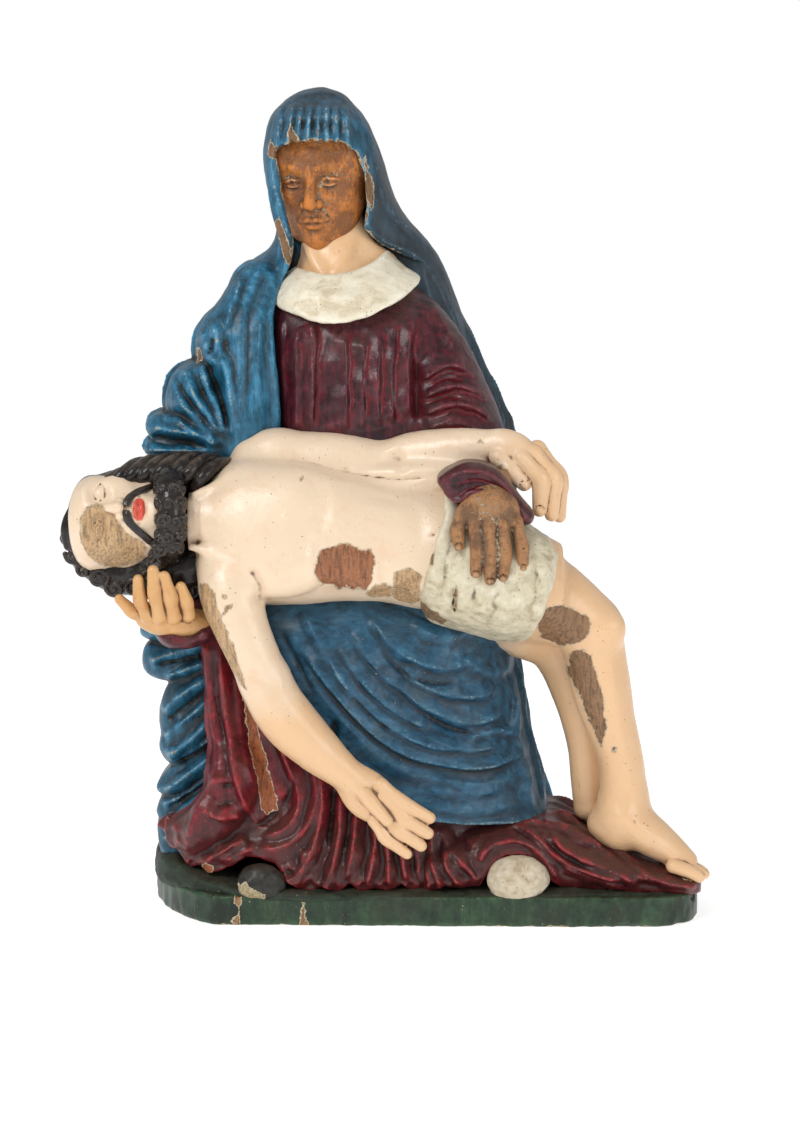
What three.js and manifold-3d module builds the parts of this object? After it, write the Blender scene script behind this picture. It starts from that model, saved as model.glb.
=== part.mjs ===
// A carved and painted wooden pieta: the seated mother in hood, mantle and dress holds the dead Christ
// across her lap, on a low ground that is cut from the same block.
// Millimetres, +Z up. The front faces -Y and +X is on the viewer's right. The origin lies on the underside,
// in the middle of the whole.
// The group is carved as a signed distance on a grid of cells: forms are added or cut, folds are engraved,
// the surface is drawn through the cells and thinned to large facets, and the block is then joined to its
// plinth. The underside is sawn flat.

import * as THREE from 'three';
import { mergeVertices } from 'three/addons/utils/BufferGeometryUtils.js';
import Module from 'manifold-3d';

// Driving dimensions, in millimetres.
const figuresHeight = 577;       // top of the plinth to the crown of the hood
const plinthThickness = 22;      // the green board-like edge under the ground
const plinthEdgeRound = 2;       // softened upper and lower edges of the plinth
const plinthLeft = 172;          // from the middle to the rounded left end
const plinthRight = 229;         // from the middle to the right end, under the toes
const plinthFront = 125;         // from the middle to the straight front edge
const plinthBack = 106;          // from the middle to the back edge
const plinthCornerRight = 40;    // how early the front edge starts to round off at the right
const crackWidth = 3;            // the wood's drying cracks in the plinth's front edge
const crackDepth = 7;
const crackPlaces = [-105, -56, 66]; // from the middle, along the front edge
const cellSize = 3.4;             // fineness of the carving grid
const facetCount = 8200;         // triangles left on the figures after thinning

// The figures are drawn on a block with this height above the plinth, and scaled from it.
const drawnHeight = 577;

const block = { low: [-248, -148, -32], high: [248, 120, 594] };


// Numbers.

const clamp = (v, low = 0, high = 1) => Math.min(high, Math.max(low, v));

const smooth = (edge0, edge1, v) => {
  const t = clamp((v - edge0) / (edge1 - edge0));
  return t * t * (3 - 2 * t);
};

// Catmull-Rom value between rows of numbers, at a place counted in rows.
function between(rows, place) {
  const last = rows.length - 1;
  const i = clamp(Math.floor(place), 0, last - 1);
  const t = place - i;
  const [a, b, c, d] = [rows[Math.max(i - 1, 0)], rows[i], rows[i + 1], rows[Math.min(i + 2, last)]];
  return b.map((v, n) => 0.5 * (2 * v + (c[n] - a[n]) * t
    + (2 * a[n] - 5 * v + 4 * c[n] - d[n]) * t * t
    + (3 * v - a[n] - 3 * c[n] + d[n]) * t * t * t));
}

// A smooth line through the rows, with a few steps between each two.
function through(rows, steps = 4) {
  const count = (rows.length - 1) * steps;
  return Array.from({ length: count + 1 }, (_, n) => between(rows, n / steps));
}


// Forms. Each has a low and a high corner and a signed distance, negative inside.

// A limb, lock, finger or roll of cloth: stations are [x, y, z, radius]. The stretch widens its section
// along X, Y or Z.
function limb(stations, stretch = [1, 1, 1]) {
  const line = through(stations);
  const reach = Math.max(...stations.map(s => s[3])) * Math.max(...stretch) * 1.1;
  const thin = Math.min(...stretch);
  const [sx, sy, sz] = stretch;
  return {
    low: [0, 1, 2].map(n => Math.min(...line.map(p => p[n])) - reach),
    high: [0, 1, 2].map(n => Math.max(...line.map(p => p[n])) + reach),
    at(x, y, z) {
      let best = Infinity;
      for (let n = 1; n < line.length; n++) {
        const a = line[n - 1];
        const b = line[n];
        const dx = b[0] - a[0];
        const dy = b[1] - a[1];
        const dz = b[2] - a[2];
        const t = clamp(((x - a[0]) * dx + (y - a[1]) * dy + (z - a[2]) * dz)
          / (dx * dx + dy * dy + dz * dz + 1e-9));
        const away = Math.hypot((x - a[0] - dx * t) / sx, (y - a[1] - dy * t) / sy, (z - a[2] - dz * t) / sz);
        best = Math.min(best, (away - a[3] - (b[3] - a[3]) * t) * thin);
      }
      return best;
    },
  };
}

// An ellipsoid, turned about X, then Y, then Z by degrees.
function ball(centre, radii, turn = [0, 0, 0]) {
  const angles = turn.map(THREE.MathUtils.degToRad);
  const matrix = new THREE.Matrix4().makeRotationFromEuler(new THREE.Euler(...angles, 'ZYX'));
  const m = matrix.invert().elements;
  const reach = Math.max(...radii);
  return {
    low: centre.map(c => c - reach),
    high: centre.map(c => c + reach),
    at(x, y, z) {
      const [a, b, c] = [x - centre[0], y - centre[1], z - centre[2]];
      const p = m[0] * a + m[4] * b + m[8] * c;
      const q = m[1] * a + m[5] * b + m[9] * c;
      const r = m[2] * a + m[6] * b + m[10] * c;
      const share = Math.hypot(p / radii[0], q / radii[1], r / radii[2]);
      const slope = Math.hypot(p / radii[0] ** 2, q / radii[1] ** 2, r / radii[2] ** 2);
      return share < 1e-6 ? -Math.min(...radii) : share * (share - 1) / slope;
    },
  };
}

// A body lofted along Z or X. Rows along Z are [z, left, right, front, back]; rows along X are
// [x, front, back, bottom, top]. The power squares the section, and swell moves its surface out.
function loft(axis, rows, power = 2.4, swell = 0) {
  const along = axis === 'z' ? 2 : 0;
  const [first, second] = axis === 'z' ? [0, 1] : [1, 2];
  const sorted = [...rows].sort((a, b) => a[0] - b[0]);
  const pick = (n, of) => of(...sorted.map(r => r[n]));
  const low = [0, 0, 0];
  const high = [0, 0, 0];
  [low[along], high[along]] = [sorted[0][0] - swell, sorted.at(-1)[0] + swell];
  [low[first], high[first]] = [pick(1, Math.min) - swell - 4, pick(2, Math.max) + swell + 4];
  [low[second], high[second]] = [pick(3, Math.min) - swell - 4, pick(4, Math.max) + swell + 4];
  let known = NaN;
  let row;
  return {
    low,
    high,
    at(x, y, z) {
      const p = [x, y, z];
      if (p[along] !== known) {
        known = p[along];
        const place = clamp(known, sorted[0][0], sorted.at(-1)[0]);
        const i = clamp(sorted.findIndex(r => r[0] > place) - 1, 0, sorted.length - 2);
        const at = place >= sorted.at(-1)[0] ? sorted.length - 1
          : i + (place - sorted[i][0]) / (sorted[i + 1][0] - sorted[i][0]);
        row = between(sorted, at);
      }
      const [, a0, a1, b0, b1] = row;
      const ra = (a1 - a0) / 2 + swell;
      const rb = (b1 - b0) / 2 + swell;
      const u = Math.abs(p[first] - (a0 + a1) / 2) / ra;
      const v = Math.abs(p[second] - (b0 + b1) / 2) / rb;
      const side = ((u ** power + v ** power) ** (1 / power) - 1) * Math.min(ra, rb);
      return Math.max(side, p[along] - high[along], low[along] - p[along]);
    },
  };
}

// A form limited to the side of a cut where keep(x, y, z) is negative.
const within = (form, keep) => ({ ...form, at: (x, y, z) => Math.max(form.at(x, y, z), keep(x, y, z)) });

// A form given in its own axes, set in place by a matrix that only turns, moves and scales evenly.
function placed(form, matrix) {
  const inverse = matrix.clone().invert().elements;
  const size = Math.cbrt(matrix.determinant());
  const corners = new THREE.Box3(new THREE.Vector3(...form.low), new THREE.Vector3(...form.high))
    .applyMatrix4(matrix);
  const turned = (x, y, z, n) => inverse[n] * x + inverse[n + 4] * y + inverse[n + 8] * z + inverse[n + 12];
  return {
    low: corners.min.toArray(),
    high: corners.max.toArray(),
    at: (x, y, z) => size * form.at(turned(x, y, z, 0), turned(x, y, z, 1), turned(x, y, z, 2)),
  };
}


// The block that the forms are carved from.

class Block {
  constructor({ low, high }, cell) {
    this.low = low;
    this.cell = cell;
    this.count = low.map((v, n) => Math.ceil((high[n] - v) / cell) + 1);
    this.distance = new Float32Array(this.count[0] * this.count[1] * this.count[2]).fill(60);
  }

  // Visits the grid points in a box level by level, and in each level column by column.
  change(low, high, margin, combine) {
    const from = low.map((v, n) => Math.max(0, Math.floor((v - margin - this.low[n]) / this.cell)));
    const to = high.map((v, n) => Math.min(this.count[n] - 1, Math.ceil((v + margin - this.low[n]) / this.cell)));
    const [nx, ny] = this.count;
    for (let k = from[2]; k <= to[2]; k++) {
      const z = this.low[2] + k * this.cell;
      for (let i = from[0]; i <= to[0]; i++) {
        const x = this.low[0] + i * this.cell;
        for (let j = from[1]; j <= to[1]; j++) {
          const n = i + nx * (j + ny * k);
          this.distance[n] = combine(this.distance[n], x, this.low[1] + j * this.cell, z);
        }
      }
    }
  }

  // Joins a form on, with a fillet of about the blend's size.
  add(form, blend = 1) {
    this.change(form.low, form.high, blend + 2 * this.cell, (d, x, y, z) => {
      const e = form.at(x, y, z);
      const mix = Math.max(blend - Math.abs(d - e), 0) / blend;
      return Math.min(d, e) - mix * mix * blend / 4;
    });
    return this;
  }

  // Cuts a form away.
  cut(form, blend = 1) {
    this.change(form.low, form.high, blend + 2 * this.cell, (d, x, y, z) => {
      const e = -form.at(x, y, z);
      const mix = Math.max(blend - Math.abs(d - e), 0) / blend;
      return Math.max(d, e) + mix * mix * blend / 4;
    });
    return this;
  }

  // Engraves strokes drawn on the front view, fading between two depths. A stroke of less than no depth
  // raises a ridge.
  engrave(strokes, full, none) {
    for (const { points, width, depth } of strokes) {
      const line = through(points, 6);
      const xs = line.map(p => p[0]);
      const zs = line.map(p => p[1]);
      let column = NaN;
      let level = NaN;
      let relief = 0;
      this.change([Math.min(...xs), this.low[1], Math.min(...zs)], [Math.max(...xs), 1e3, Math.max(...zs)], width,
        (d, x, y, z) => {
          if (x !== column || z !== level) {
            [column, level] = [x, z];
            relief = strokeRelief(line, width, x, z);
          }
          return relief === 0 ? d : d + depth * relief * (1 - smooth(full, none, y));
        });
    }
    return this;
  }

  join(other) {
    this.distance = this.distance.map((d, n) => Math.min(d, other.distance[n]));
    return this;
  }
}

// How much of a stroke's depth is cut at a place on the front view: full on its line, fading at its ends.
function strokeRelief(line, width, x, z) {
  let best = 0;
  for (let n = 1; n < line.length; n++) {
    const [ax, az] = line[n - 1];
    const [bx, bz] = line[n];
    const t = clamp(((x - ax) * (bx - ax) + (z - az) * (bz - az)) / ((bx - ax) ** 2 + (bz - az) ** 2 + 1e-9));
    const away = Math.hypot(x - ax - (bx - ax) * t, z - az - (bz - az) * t) / width;
    if (away >= 1) continue;
    const share = (n - 1 + t) / (line.length - 1);
    const fade = smooth(0, 0.2, share) * smooth(0, 0.2, 1 - share);
    best = Math.max(best, (1 - away) ** 1.5 * fade);
  }
  return best;
}

// A fan of like strokes between two guide lines.
function fan(first, last, count, width, depth) {
  return Array.from({ length: count }, (_, n) => {
    const share = count === 1 ? 0.5 : clamp(n / (count - 1) + 0.25 / count * Math.sin(n * 12.99));
    const points = first.map((p, i) => [p[0] + (last[i][0] - p[0]) * share, p[1] + (last[i][1] - p[1]) * share]);
    return { points, width, depth: depth * (1 + 0.25 * Math.sin(n * 7.3 + 1)) };
  });
}


// Surface: one vertex in each cell that the surface crosses, and a quad round each crossed grid edge.

function surfaceOf(carving) {
  const { distance, count: [nx, ny, nz], low, cell } = carving;
  const step = [1, nx, nx * ny];
  const vertexOf = new Map();
  const positions = [];
  const corners = [0, 1, 2, 3, 4, 5, 6, 7].map(c => [c & 1, (c >> 1) & 1, (c >> 2) & 1]);
  const edges = [];
  for (let a = 0; a < 8; a++) {
    for (const bit of [1, 2, 4]) {
      if (!(a & bit)) edges.push([a, a | bit]);
    }
  }
  const offset = corners.map(c => c[0] * step[0] + c[1] * step[1] + c[2] * step[2]);
  for (let k = 0; k < nz - 1; k++) {
    for (let j = 0; j < ny - 1; j++) {
      for (let i = 0; i < nx - 1; i++) {
        const n = i + nx * (j + ny * k);
        let inside = 0;
        for (let c = 0; c < 8; c++) {
          if (distance[n + offset[c]] < 0) inside |= 1 << c;
        }
        if (inside === 0 || inside === 255) continue;
        const sum = [0, 0, 0];
        let crossed = 0;
        for (const [a, b] of edges) {
          if (((inside >> a) & 1) === ((inside >> b) & 1)) continue;
          const da = distance[n + offset[a]];
          const t = da / (da - distance[n + offset[b]]);
          for (let m = 0; m < 3; m++) sum[m] += corners[a][m] + (corners[b][m] - corners[a][m]) * t;
          crossed++;
        }
        vertexOf.set(n, positions.length / 3);
        positions.push(...[i, j, k].map((v, m) => low[m] + (v + sum[m] / crossed) * cell));
      }
    }
  }
  const triangles = [];
  for (let k = 1; k < nz - 1; k++) {
    for (let j = 1; j < ny - 1; j++) {
      for (let i = 1; i < nx - 1; i++) {
        const n = i + nx * (j + ny * k);
        const here = distance[n] < 0;
        for (let m = 0; m < 3; m++) {
          const there = distance[n + step[m]] < 0;
          if (here === there) continue;
          const u = step[(m + 1) % 3];
          const v = step[(m + 2) % 3];
          const quad = [n - u - v, n - v, n, n - u].map(c => vertexOf.get(c));
          if (!here) quad.reverse();
          triangles.push(quad[0], quad[1], quad[2], quad[0], quad[2], quad[3]);
        }
      }
    }
  }
  return { positions, triangles };
}

// Fills the cells where two surfaces would touch along an edge or at a point, so that the body is one clean
// skin everywhere.
function closeTouching({ distance, count: [nx, ny, nz] }) {
  const filled = -0.05;
  const offset = [0, 1, 2, 3, 4, 5, 6, 7].map(c => (c & 1) + ((c >> 1) & 1) * nx + (c >> 2) * nx * ny);
  // Masks of corners that make two surfaces touch: crosswise on a face, or at the ends of a long diagonal.
  const crosswise = [];
  for (const [u, v, other] of [[1, 2, 4], [2, 4, 1], [4, 1, 2]]) {
    for (const base of [0, other]) {
      const face = (1 << base) | (1 << (base + u)) | (1 << (base + v)) | (1 << (base + u + v));
      crosswise.push([face, (1 << base) | (1 << (base + u + v))], [face, (1 << (base + u)) | (1 << (base + v))]);
    }
  }
  const diagonals = [0, 1, 2, 3].map(c => (1 << c) | (1 << (7 - c)));
  const touching = inside => {
    const onFace = crosswise.find(([face, pair]) => (inside & face) === pair);
    if (onFace) return onFace[0];
    return diagonals.some(pair => inside === pair || inside === 255 - pair) ? 255 : 0;
  };
  const touchingAt = Uint8Array.from({ length: 256 }, (_, inside) => touching(inside));
  let changed = true;
  while (changed) {
    changed = false;
    for (let k = 0; k < nz - 1; k++) {
      for (let j = 0; j < ny - 1; j++) {
        for (let i = 0; i < nx - 1; i++) {
          const n = i + nx * (j + ny * k);
          let inside = 0;
          for (let c = 0; c < 8; c++) if (distance[n + offset[c]] < 0) inside |= 1 << c;
          const place = touchingAt[inside];
          if (place === 0) continue;
          let nearest = -1;
          for (let c = 0; c < 8; c++) {
            const at = n + offset[c];
            if (!((place >> c) & 1) || (inside >> c) & 1) continue;
            if (nearest < 0 || distance[at] < distance[nearest]) nearest = at;
          }
          distance[nearest] = filled;
          changed = true;
        }
      }
    }
  }
}

// Keeps the largest closed body and drops crumbs.
function largestBody({ positions, triangles }) {
  const parent = Array.from({ length: positions.length / 3 }, (_, n) => n);
  const root = n => {
    while (parent[n] !== n) {
      parent[n] = parent[parent[n]];
      n = parent[n];
    }
    return n;
  };
  for (let t = 0; t < triangles.length; t += 3) {
    parent[root(triangles[t])] = root(triangles[t + 1]);
    parent[root(triangles[t + 1])] = root(triangles[t + 2]);
  }
  const size = new Map();
  for (const v of triangles) size.set(root(v), (size.get(root(v)) ?? 0) + 1);
  const largest = [...size].sort((a, b) => b[1] - a[1])[0][0];
  const kept = [];
  for (let t = 0; t < triangles.length; t += 3) {
    if (root(triangles[t]) === largest) kept.push(triangles[t], triangles[t + 1], triangles[t + 2]);
  }
  return { positions, triangles: kept };
}

// Thins the surface by drawing together the pair of neighbours that moves it least, again and again. No step
// turns a facet over or makes two sheets meet.
function thinned({ positions, triangles }, wanted) {
  const count = positions.length / 3;
  const around = Array.from({ length: count }, () => new Set());
  const faces = [];
  for (let t = 0; t < triangles.length; t += 3) {
    const face = triangles.slice(t, t + 3);
    for (const v of face) around[v].add(faces.length);
    faces.push(face);
  }
  const point = v => [positions[3 * v], positions[3 * v + 1], positions[3 * v + 2]];
  const normalOf = (a, b, c) => {
    const [ux, uy, uz] = [b[0] - a[0], b[1] - a[1], b[2] - a[2]];
    const [vx, vy, vz] = [c[0] - a[0], c[1] - a[1], c[2] - a[2]];
    return [uy * vz - uz * vy, uz * vx - ux * vz, ux * vy - uy * vx];
  };
  // Each vertex sums the squared distances to the planes of its facets: ten terms of a symmetric form.
  const form = Array.from({ length: count }, () => new Float64Array(10));
  for (const face of faces) {
    const [a, b, c] = face.map(point);
    const normal = normalOf(a, b, c);
    const length = Math.hypot(...normal) || 1;
    const [p, q, r] = normal.map(v => v / length);
    const s = -(p * a[0] + q * a[1] + r * a[2]);
    const terms = [p * p, p * q, p * r, p * s, q * q, q * r, q * s, r * r, r * s, s * s];
    for (const v of face) terms.forEach((term, n) => { form[v][n] += term * length / 2; });
  }
  const errorAt = (f, [x, y, z]) => f[0] * x * x + 2 * f[1] * x * y + 2 * f[2] * x * z + 2 * f[3] * x
    + f[4] * y * y + 2 * f[5] * y * z + 2 * f[6] * y + f[7] * z * z + 2 * f[8] * z + f[9];
  const version = new Int32Array(count);
  const heap = [];
  const push = entry => {
    let n = heap.push(entry) - 1;
    while (n > 0) {
      const up = (n - 1) >> 1;
      if (heap[up].error <= heap[n].error) break;
      [heap[up], heap[n]] = [heap[n], heap[up]];
      n = up;
    }
  };
  const pop = () => {
    const top = heap[0];
    const end = heap.pop();
    if (heap.length === 0) return top;
    heap[0] = end;
    for (let n = 0; ;) {
      let least = n;
      for (const child of [2 * n + 1, 2 * n + 2]) {
        if (child < heap.length && heap[child].error < heap[least].error) least = child;
      }
      if (least === n) return top;
      [heap[least], heap[n]] = [heap[n], heap[least]];
      n = least;
    }
  };
  // The best meeting point of a pair: where the summed form is least, or the best of its ends and middle.
  const meeting = (u, v) => {
    const f = form[u].slice();
    for (let n = 0; n < 10; n++) f[n] += form[v][n];
    const [a, b] = [point(u), point(v)];
    const middle = [(a[0] + b[0]) / 2, (a[1] + b[1]) / 2, (a[2] + b[2]) / 2];
    const choices = [a, b, middle];
    const [c00, c01, c02] = [f[4] * f[7] - f[5] * f[5], f[2] * f[5] - f[1] * f[7], f[1] * f[5] - f[2] * f[4]];
    const det = f[0] * c00 + f[1] * c01 + f[2] * c02;
    if (Math.abs(det) > 1e-3) {
      const [c11, c12, c22] = [f[0] * f[7] - f[2] * f[2], f[1] * f[2] - f[0] * f[5], f[0] * f[4] - f[1] * f[1]];
      const best = [
        -(c00 * f[3] + c01 * f[6] + c02 * f[8]) / det,
        -(c01 * f[3] + c11 * f[6] + c12 * f[8]) / det,
        -(c02 * f[3] + c12 * f[6] + c22 * f[8]) / det,
      ];
      const reach = Math.hypot(a[0] - b[0], a[1] - b[1], a[2] - b[2]);
      if (Math.hypot(best[0] - middle[0], best[1] - middle[1], best[2] - middle[2]) < reach * 1.5) {
        choices.push(best);
      }
    }
    let found = { error: Infinity };
    for (const at of choices) {
      const error = errorAt(f, at);
      if (error < found.error) found = { at, error };
    }
    return found;
  };
  const neighbours = v => {
    const found = new Set();
    for (const t of around[v]) for (const w of faces[t]) if (w !== v) found.add(w);
    return found;
  };
  const offer = (u, v) => {
    const { at, error } = meeting(u, v);
    push({ u, v, markU: version[u], markV: version[v], at, error });
  };
  const turnsOver = (v, other, at) => {
    for (const t of around[v]) {
      const face = faces[t];
      if (face.includes(other)) continue;
      const before = normalOf(...face.map(point));
      const after = normalOf(...face.map(w => (w === v ? at : point(w))));
      const dot = before[0] * after[0] + before[1] * after[1] + before[2] * after[2];
      if (dot < 0.25 * Math.hypot(...before) * Math.hypot(...after) || Math.hypot(...after) < 1e-3) return true;
    }
    return false;
  };
  for (let v = 0; v < count; v++) {
    for (const w of neighbours(v)) if (w > v) offer(v, w);
  }
  let left = faces.length;
  while (left > wanted && heap.length > 0) {
    const { u, v, markU, markV, at } = pop();
    if (version[u] !== markU || version[v] !== markV) continue;
    const beside = neighbours(u);
    const shared = [...neighbours(v)].filter(w => beside.has(w));
    if (shared.length !== 2 || turnsOver(u, v, at) || turnsOver(v, u, at)) continue;
    for (const t of [...around[v]]) {
      const face = faces[t];
      if (face.includes(u)) {
        for (const w of face) around[w].delete(t);
        faces[t] = null;
        left--;
      } else {
        face[face.indexOf(v)] = u;
        around[u].add(t);
      }
    }
    around[v].clear();
    form[u].forEach((c, n) => { form[u][n] = c + form[v][n]; });
    at.forEach((c, n) => { positions[3 * u + n] = c; });
    version[u]++;
    version[v] = -1;
    for (const w of neighbours(u)) offer(Math.min(u, w), Math.max(u, w));
  }
  return { positions, triangles: faces.filter(Boolean).flat() };
}


// A head in its own axes, turned into place: -Y is its face, +Z its crown and the origin lies between the
// ears. Its proportions are an average adult's, for a head 92 mm from chin to crown.

function headForms() {
  const eye = side => [side * 13, -27, 0];
  return {
    bone: [
      [ball([0, 4, 8], [33, 40, 38]), 1],
      [ball([0, -6, -15], [27, 29, 31]), 10],
      [ball([0, -27, -39], [10, 8, 7]), 7],
      [limb([[-22, -24, 8, 5], [-10, -33, 9, 5], [0, -33, 7, 5], [10, -33, 9, 5], [22, -24, 8, 5]]), 6],
    ],
    sockets: [ball([-13, -38, -1], [9, 6, 6]), ball([13, -38, -1], [9, 6, 6])],
    features: [
      [ball(eye(-1), [8, 8, 6]), 3],
      [ball(eye(1), [8, 8, 6]), 3],
      [limb([[0, -33, 6, 3.5], [0, -37, -8, 4.5], [0, -39, -16, 5.5], [0, -36, -19, 4]]), 4],
      [limb([[-6, -34, -18, 3.5], [6, -34, -18, 3.5]]), 3],
      [limb([[-10, -31, -29, 2], [0, -37, -28, 3], [10, -31, -29, 2]]), 2],
      [limb([[-8, -31, -34, 2.5], [0, -36, -34, 3.2], [8, -31, -34, 2.5]]), 2],
    ],
  };
}

function addHead(carving, matrix) {
  const { bone, sockets, features } = headForms();
  for (const [form, blend] of bone) carving.add(placed(form, matrix), blend);
  for (const socket of sockets) carving.cut(placed(socket, matrix), 5);
  for (const [form, blend] of features) carving.add(placed(form, matrix), blend);
}

function frameOf(origin, right, back, size) {
  const x = new THREE.Vector3(...right).normalize();
  const y = new THREE.Vector3(...back).normalize();
  const z = new THREE.Vector3().crossVectors(x, y).normalize();
  y.crossVectors(z, x);
  return new THREE.Matrix4().makeBasis(x, y, z).scale(new THREE.Vector3(size, size, size))
    .setPosition(...origin);
}


// The mother.

// Hood and mantle, hanging from the crown to the ground behind her: [z, left, right, front, back].
const mantleRows = [
  [577, -60, -33, -4, 30], [572, -68, -27, -22, 40], [561, -81, -18, -36, 50], [539, -88, -6, -42, 60],
  [520, -89, 1, -40, 66], [498, -85, 8, -34, 70], [480, -80, 19, -24, 74], [462, -84, 35, -14, 78],
  [446, -106, 45, -12, 84], [420, -126, 55, -12, 90], [382, -140, 70, -12, 94], [345, -142, 86, -12, 98],
  [319, -142, 96, -12, 100], [240, -148, 97, -12, 102], [159, -150, 97, -14, 104], [94, -154, 108, -20, 105],
  [44, -162, 124, -30, 105], [-16, -166, 150, -40, 105],
];

// The mantle at her right side, below the dead man's head: [z, left, right, front, back].
const sideRows = [
  [300, -158, -100, -50, 60], [240, -164, -100, -58, 60], [190, -170, -104, -66, 60], [160, -163, -104, -66, 60],
  [134, -157, -104, -66, 60], [92, -161, -104, -68, 60], [52, -164, -104, -70, 60], [5, -166, -104, -74, 60],
  [-16, -166, -104, -76, 60],
];

// The dress over her breast: [z, left, right, front, back].
const bodiceRows = [
  [446, -66, 14, -34, 30], [425, -84, 36, -48, 40], [390, -84, 46, -58, 40], [345, -80, 56, -64, 40],
  [280, -86, 70, -66, 40], [200, -100, 80, -70, 40],
];

// The robe over her knees and down to the ground.
const robeRows = [
  [232, -100, 84, -60, 60], [218, -116, 92, -84, 60], [200, -126, 95, -97, 60], [165, -127, 96, -101, 60],
  [120, -123, 95, -99, 60], [80, -123, 92, -98, 60], [45, -136, 88, -103, 60], [22, -156, 84, -110, 60],
  [4, -163, 80, -115, 60], [-16, -160, 78, -115, 60],
];

// The front of the mantle, drawn over her knees as an apron.
const apronRows = [
  [232, -100, 90, -62, 60], [215, -118, 96, -88, 60], [190, -128, 98, -103, 60], [159, -130, 98, -107, 60],
  [123, -128, 104, -106, 55], [94, -124, 110, -106, 50], [66, -122, 117, -108, 45], [36, -122, 126, -110, 40],
];

// The apron's lower edge on the front view: it rises to the left and uncovers the robe.
const apronEdge = [[-140, 240], [-95, 205], [-70, 165], [-38, 115], [-2, 78], [34, 52], [84, 48], [130, 44]];

function heightAlong(points, x) {
  const n = clamp(points.findIndex(p => p[0] > x), 1, points.length - 1);
  const [[x0, z0], [x1, z1]] = [points[n - 1], points[n]];
  return z0 + (z1 - z0) * (x - x0) / (x1 - x0);
}

// The ground under her hem and the train of the robe under his feet: [x, front, back, bottom, top].
const groundRows = [
  [-172, -30, 30, -22, -6], [-166, -60, 70, -22, 6], [-143, -88, 95, -22, 8], [-100, -119, 100, -22, 5],
  [60, -120, 100, -22, 3], [150, -119, 80, -22, 2], [226, -90, -50, -22, -8],
];
const trainRows = [
  [30, -114, 50, -22, 34], [90, -112, 44, -22, 46], [122, -111, 32, -22, 47], [159, -112, 16, -22, 32],
  [200, -113, -8, -22, 16], [234, -106, -46, -22, 3],
];

const sleeveTips = [[-134, -18, 388], [-158, -24, 359], [-166, -30, 331], [-168, -36, 310]];
const cascadeTips = [[-176, -40, 174], [-171, -42, 150], [-166, -44, 98], [-167, -46, 56], [-168, -50, 18]];

function carveCloth(carving) {
  carving.add(loft('z', mantleRows, 2.3));
  // The hollow round her face, down to the neck.
  carving.cut(limb([[-46, -62, 505, 37], [-45, -64, 480, 37], [-38, -66, 445, 44]], [1, 1.5, 1]), 4);
  carving.add(loft('z', bodiceRows, 2.5), 6);
  carving.add(limb([[10, -10, 424, 27], [28, -18, 385, 33], [48, -30, 338, 35], [58, -44, 312, 33]]), 10);
  // Her right arm under the mantle, and its stacked folds.
  carving.add(limb([[-98, -14, 426, 25], [-107, -28, 390, 32], [-118, -42, 352, 40], [-122, -46, 312, 42]]), 8);
  for (const tip of sleeveTips) {
    const root = [-98, -78, tip[2] * 0.5 + 165];
    const bend = [tip[0] * 0.75 + root[0] * 0.25, -66, tip[2] - 8];
    carving.add(limb([[...root, 5], [...bend, 9], [...tip, 8]]), 5);
  }
  carving.add(loft('z', sideRows, 2.4), 6);
  carving.add(loft('z', robeRows, 2.6), 3);
  carving.add(within(loft('z', apronRows, 2.5), (x, y, z) => heightAlong(apronEdge, x) - z), 2);
  carving.add(loft('x', groundRows, 4), 4);
  carving.add(loft('x', trainRows, 3), 8);
  for (const tip of cascadeTips) {
    const root = [-124, -74, tip[2] + 40];
    const bend = [tip[0] * 0.5 - 66, -68, tip[2] + 8];
    carving.add(limb([[...root, 6], [...bend, 8], [...tip, 8]], [1, 1.6, 1]), 9);
  }
  // The sleeves' cuffs, under the dead man's head and over his hip.
  carving.add(limb([[-118, -46, 205, 24], [-138, -70, 190, 19], [-146, -88, 187, 15]]), 5);
  carving.add(limb([[56, -44, 318, 34], [68, -76, 302, 27], [73, -112, 288, 23]], [1.2, 1, 0.8]), 8);
  carving.engrave([
    ...fan([[-78, 575], [-82, 556], [-80, 538]], [[-24, 575], [-16, 556], [-14, 534]], 8, 5, 3),
    ...fan([[-66, 400], [-62, 340], [-60, 250]], [[28, 400], [30, 350], [26, 310]], 8, 8, 5),
    ...fan([[24, 408], [44, 392], [58, 392]], [[30, 330], [58, 322], [78, 330]], 5, 7, 4),
    ...fan([[-92, 440], [-104, 395], [-128, 345]], [[-84, 430], [-84, 370], [-86, 315]], 4, 8, 5),
  ], -30, 20);
  carving.engrave([
    ...fan([[-84, 190], [-20, 130], [60, 66]], [[-30, 205], [40, 170], [96, 120]], 5, 11, 7),
    ...fan([[-36, 112], [0, 84], [60, 60]], [[60, 168], [84, 140], [106, 86]], 4, 9, 5),
    ...fan([[-118, 176], [-112, 110], [-146, 34]], [[-84, 160], [-76, 96], [-70, 6]], 5, 8, 5),
    ...fan([[-66, 70], [-60, 40], [-66, 0]], [[60, 52], [62, 26], [70, -2]], 9, 8, 5),
    ...fan([[70, 46], [130, 24], [190, 0]], [[90, 30], [150, 6], [210, -12]], 3, 9, 4),
    ...fan([[-150, 168], [-140, 120], [-132, 70]], [[-146, 96], [-140, 60], [-130, 34]], 3, 8, 5),
  ], -50, 0);
  // The back is left plain, with a few long hanging folds.
  carving.engrave(fan([[-90, 480], [-110, 300], [-130, 40]], [[20, 470], [60, 300], [90, 40]], 5, 16, 6), 70, 40);
}

function carveHand(carving, palm, turn, roots, tips, radius) {
  carving.add(ball(palm.centre, palm.radii, turn), 4);
  roots.forEach((root, n) => {
    const tip = tips[n];
    const middle = root.map((v, m) => (v + tip[m]) / 2 + (m === 1 ? -3 : 0));
    carving.add(limb([[...root, radius], [...middle, radius * 0.95], [...tip, radius * 0.75]]), 1.5);
  });
}

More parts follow.
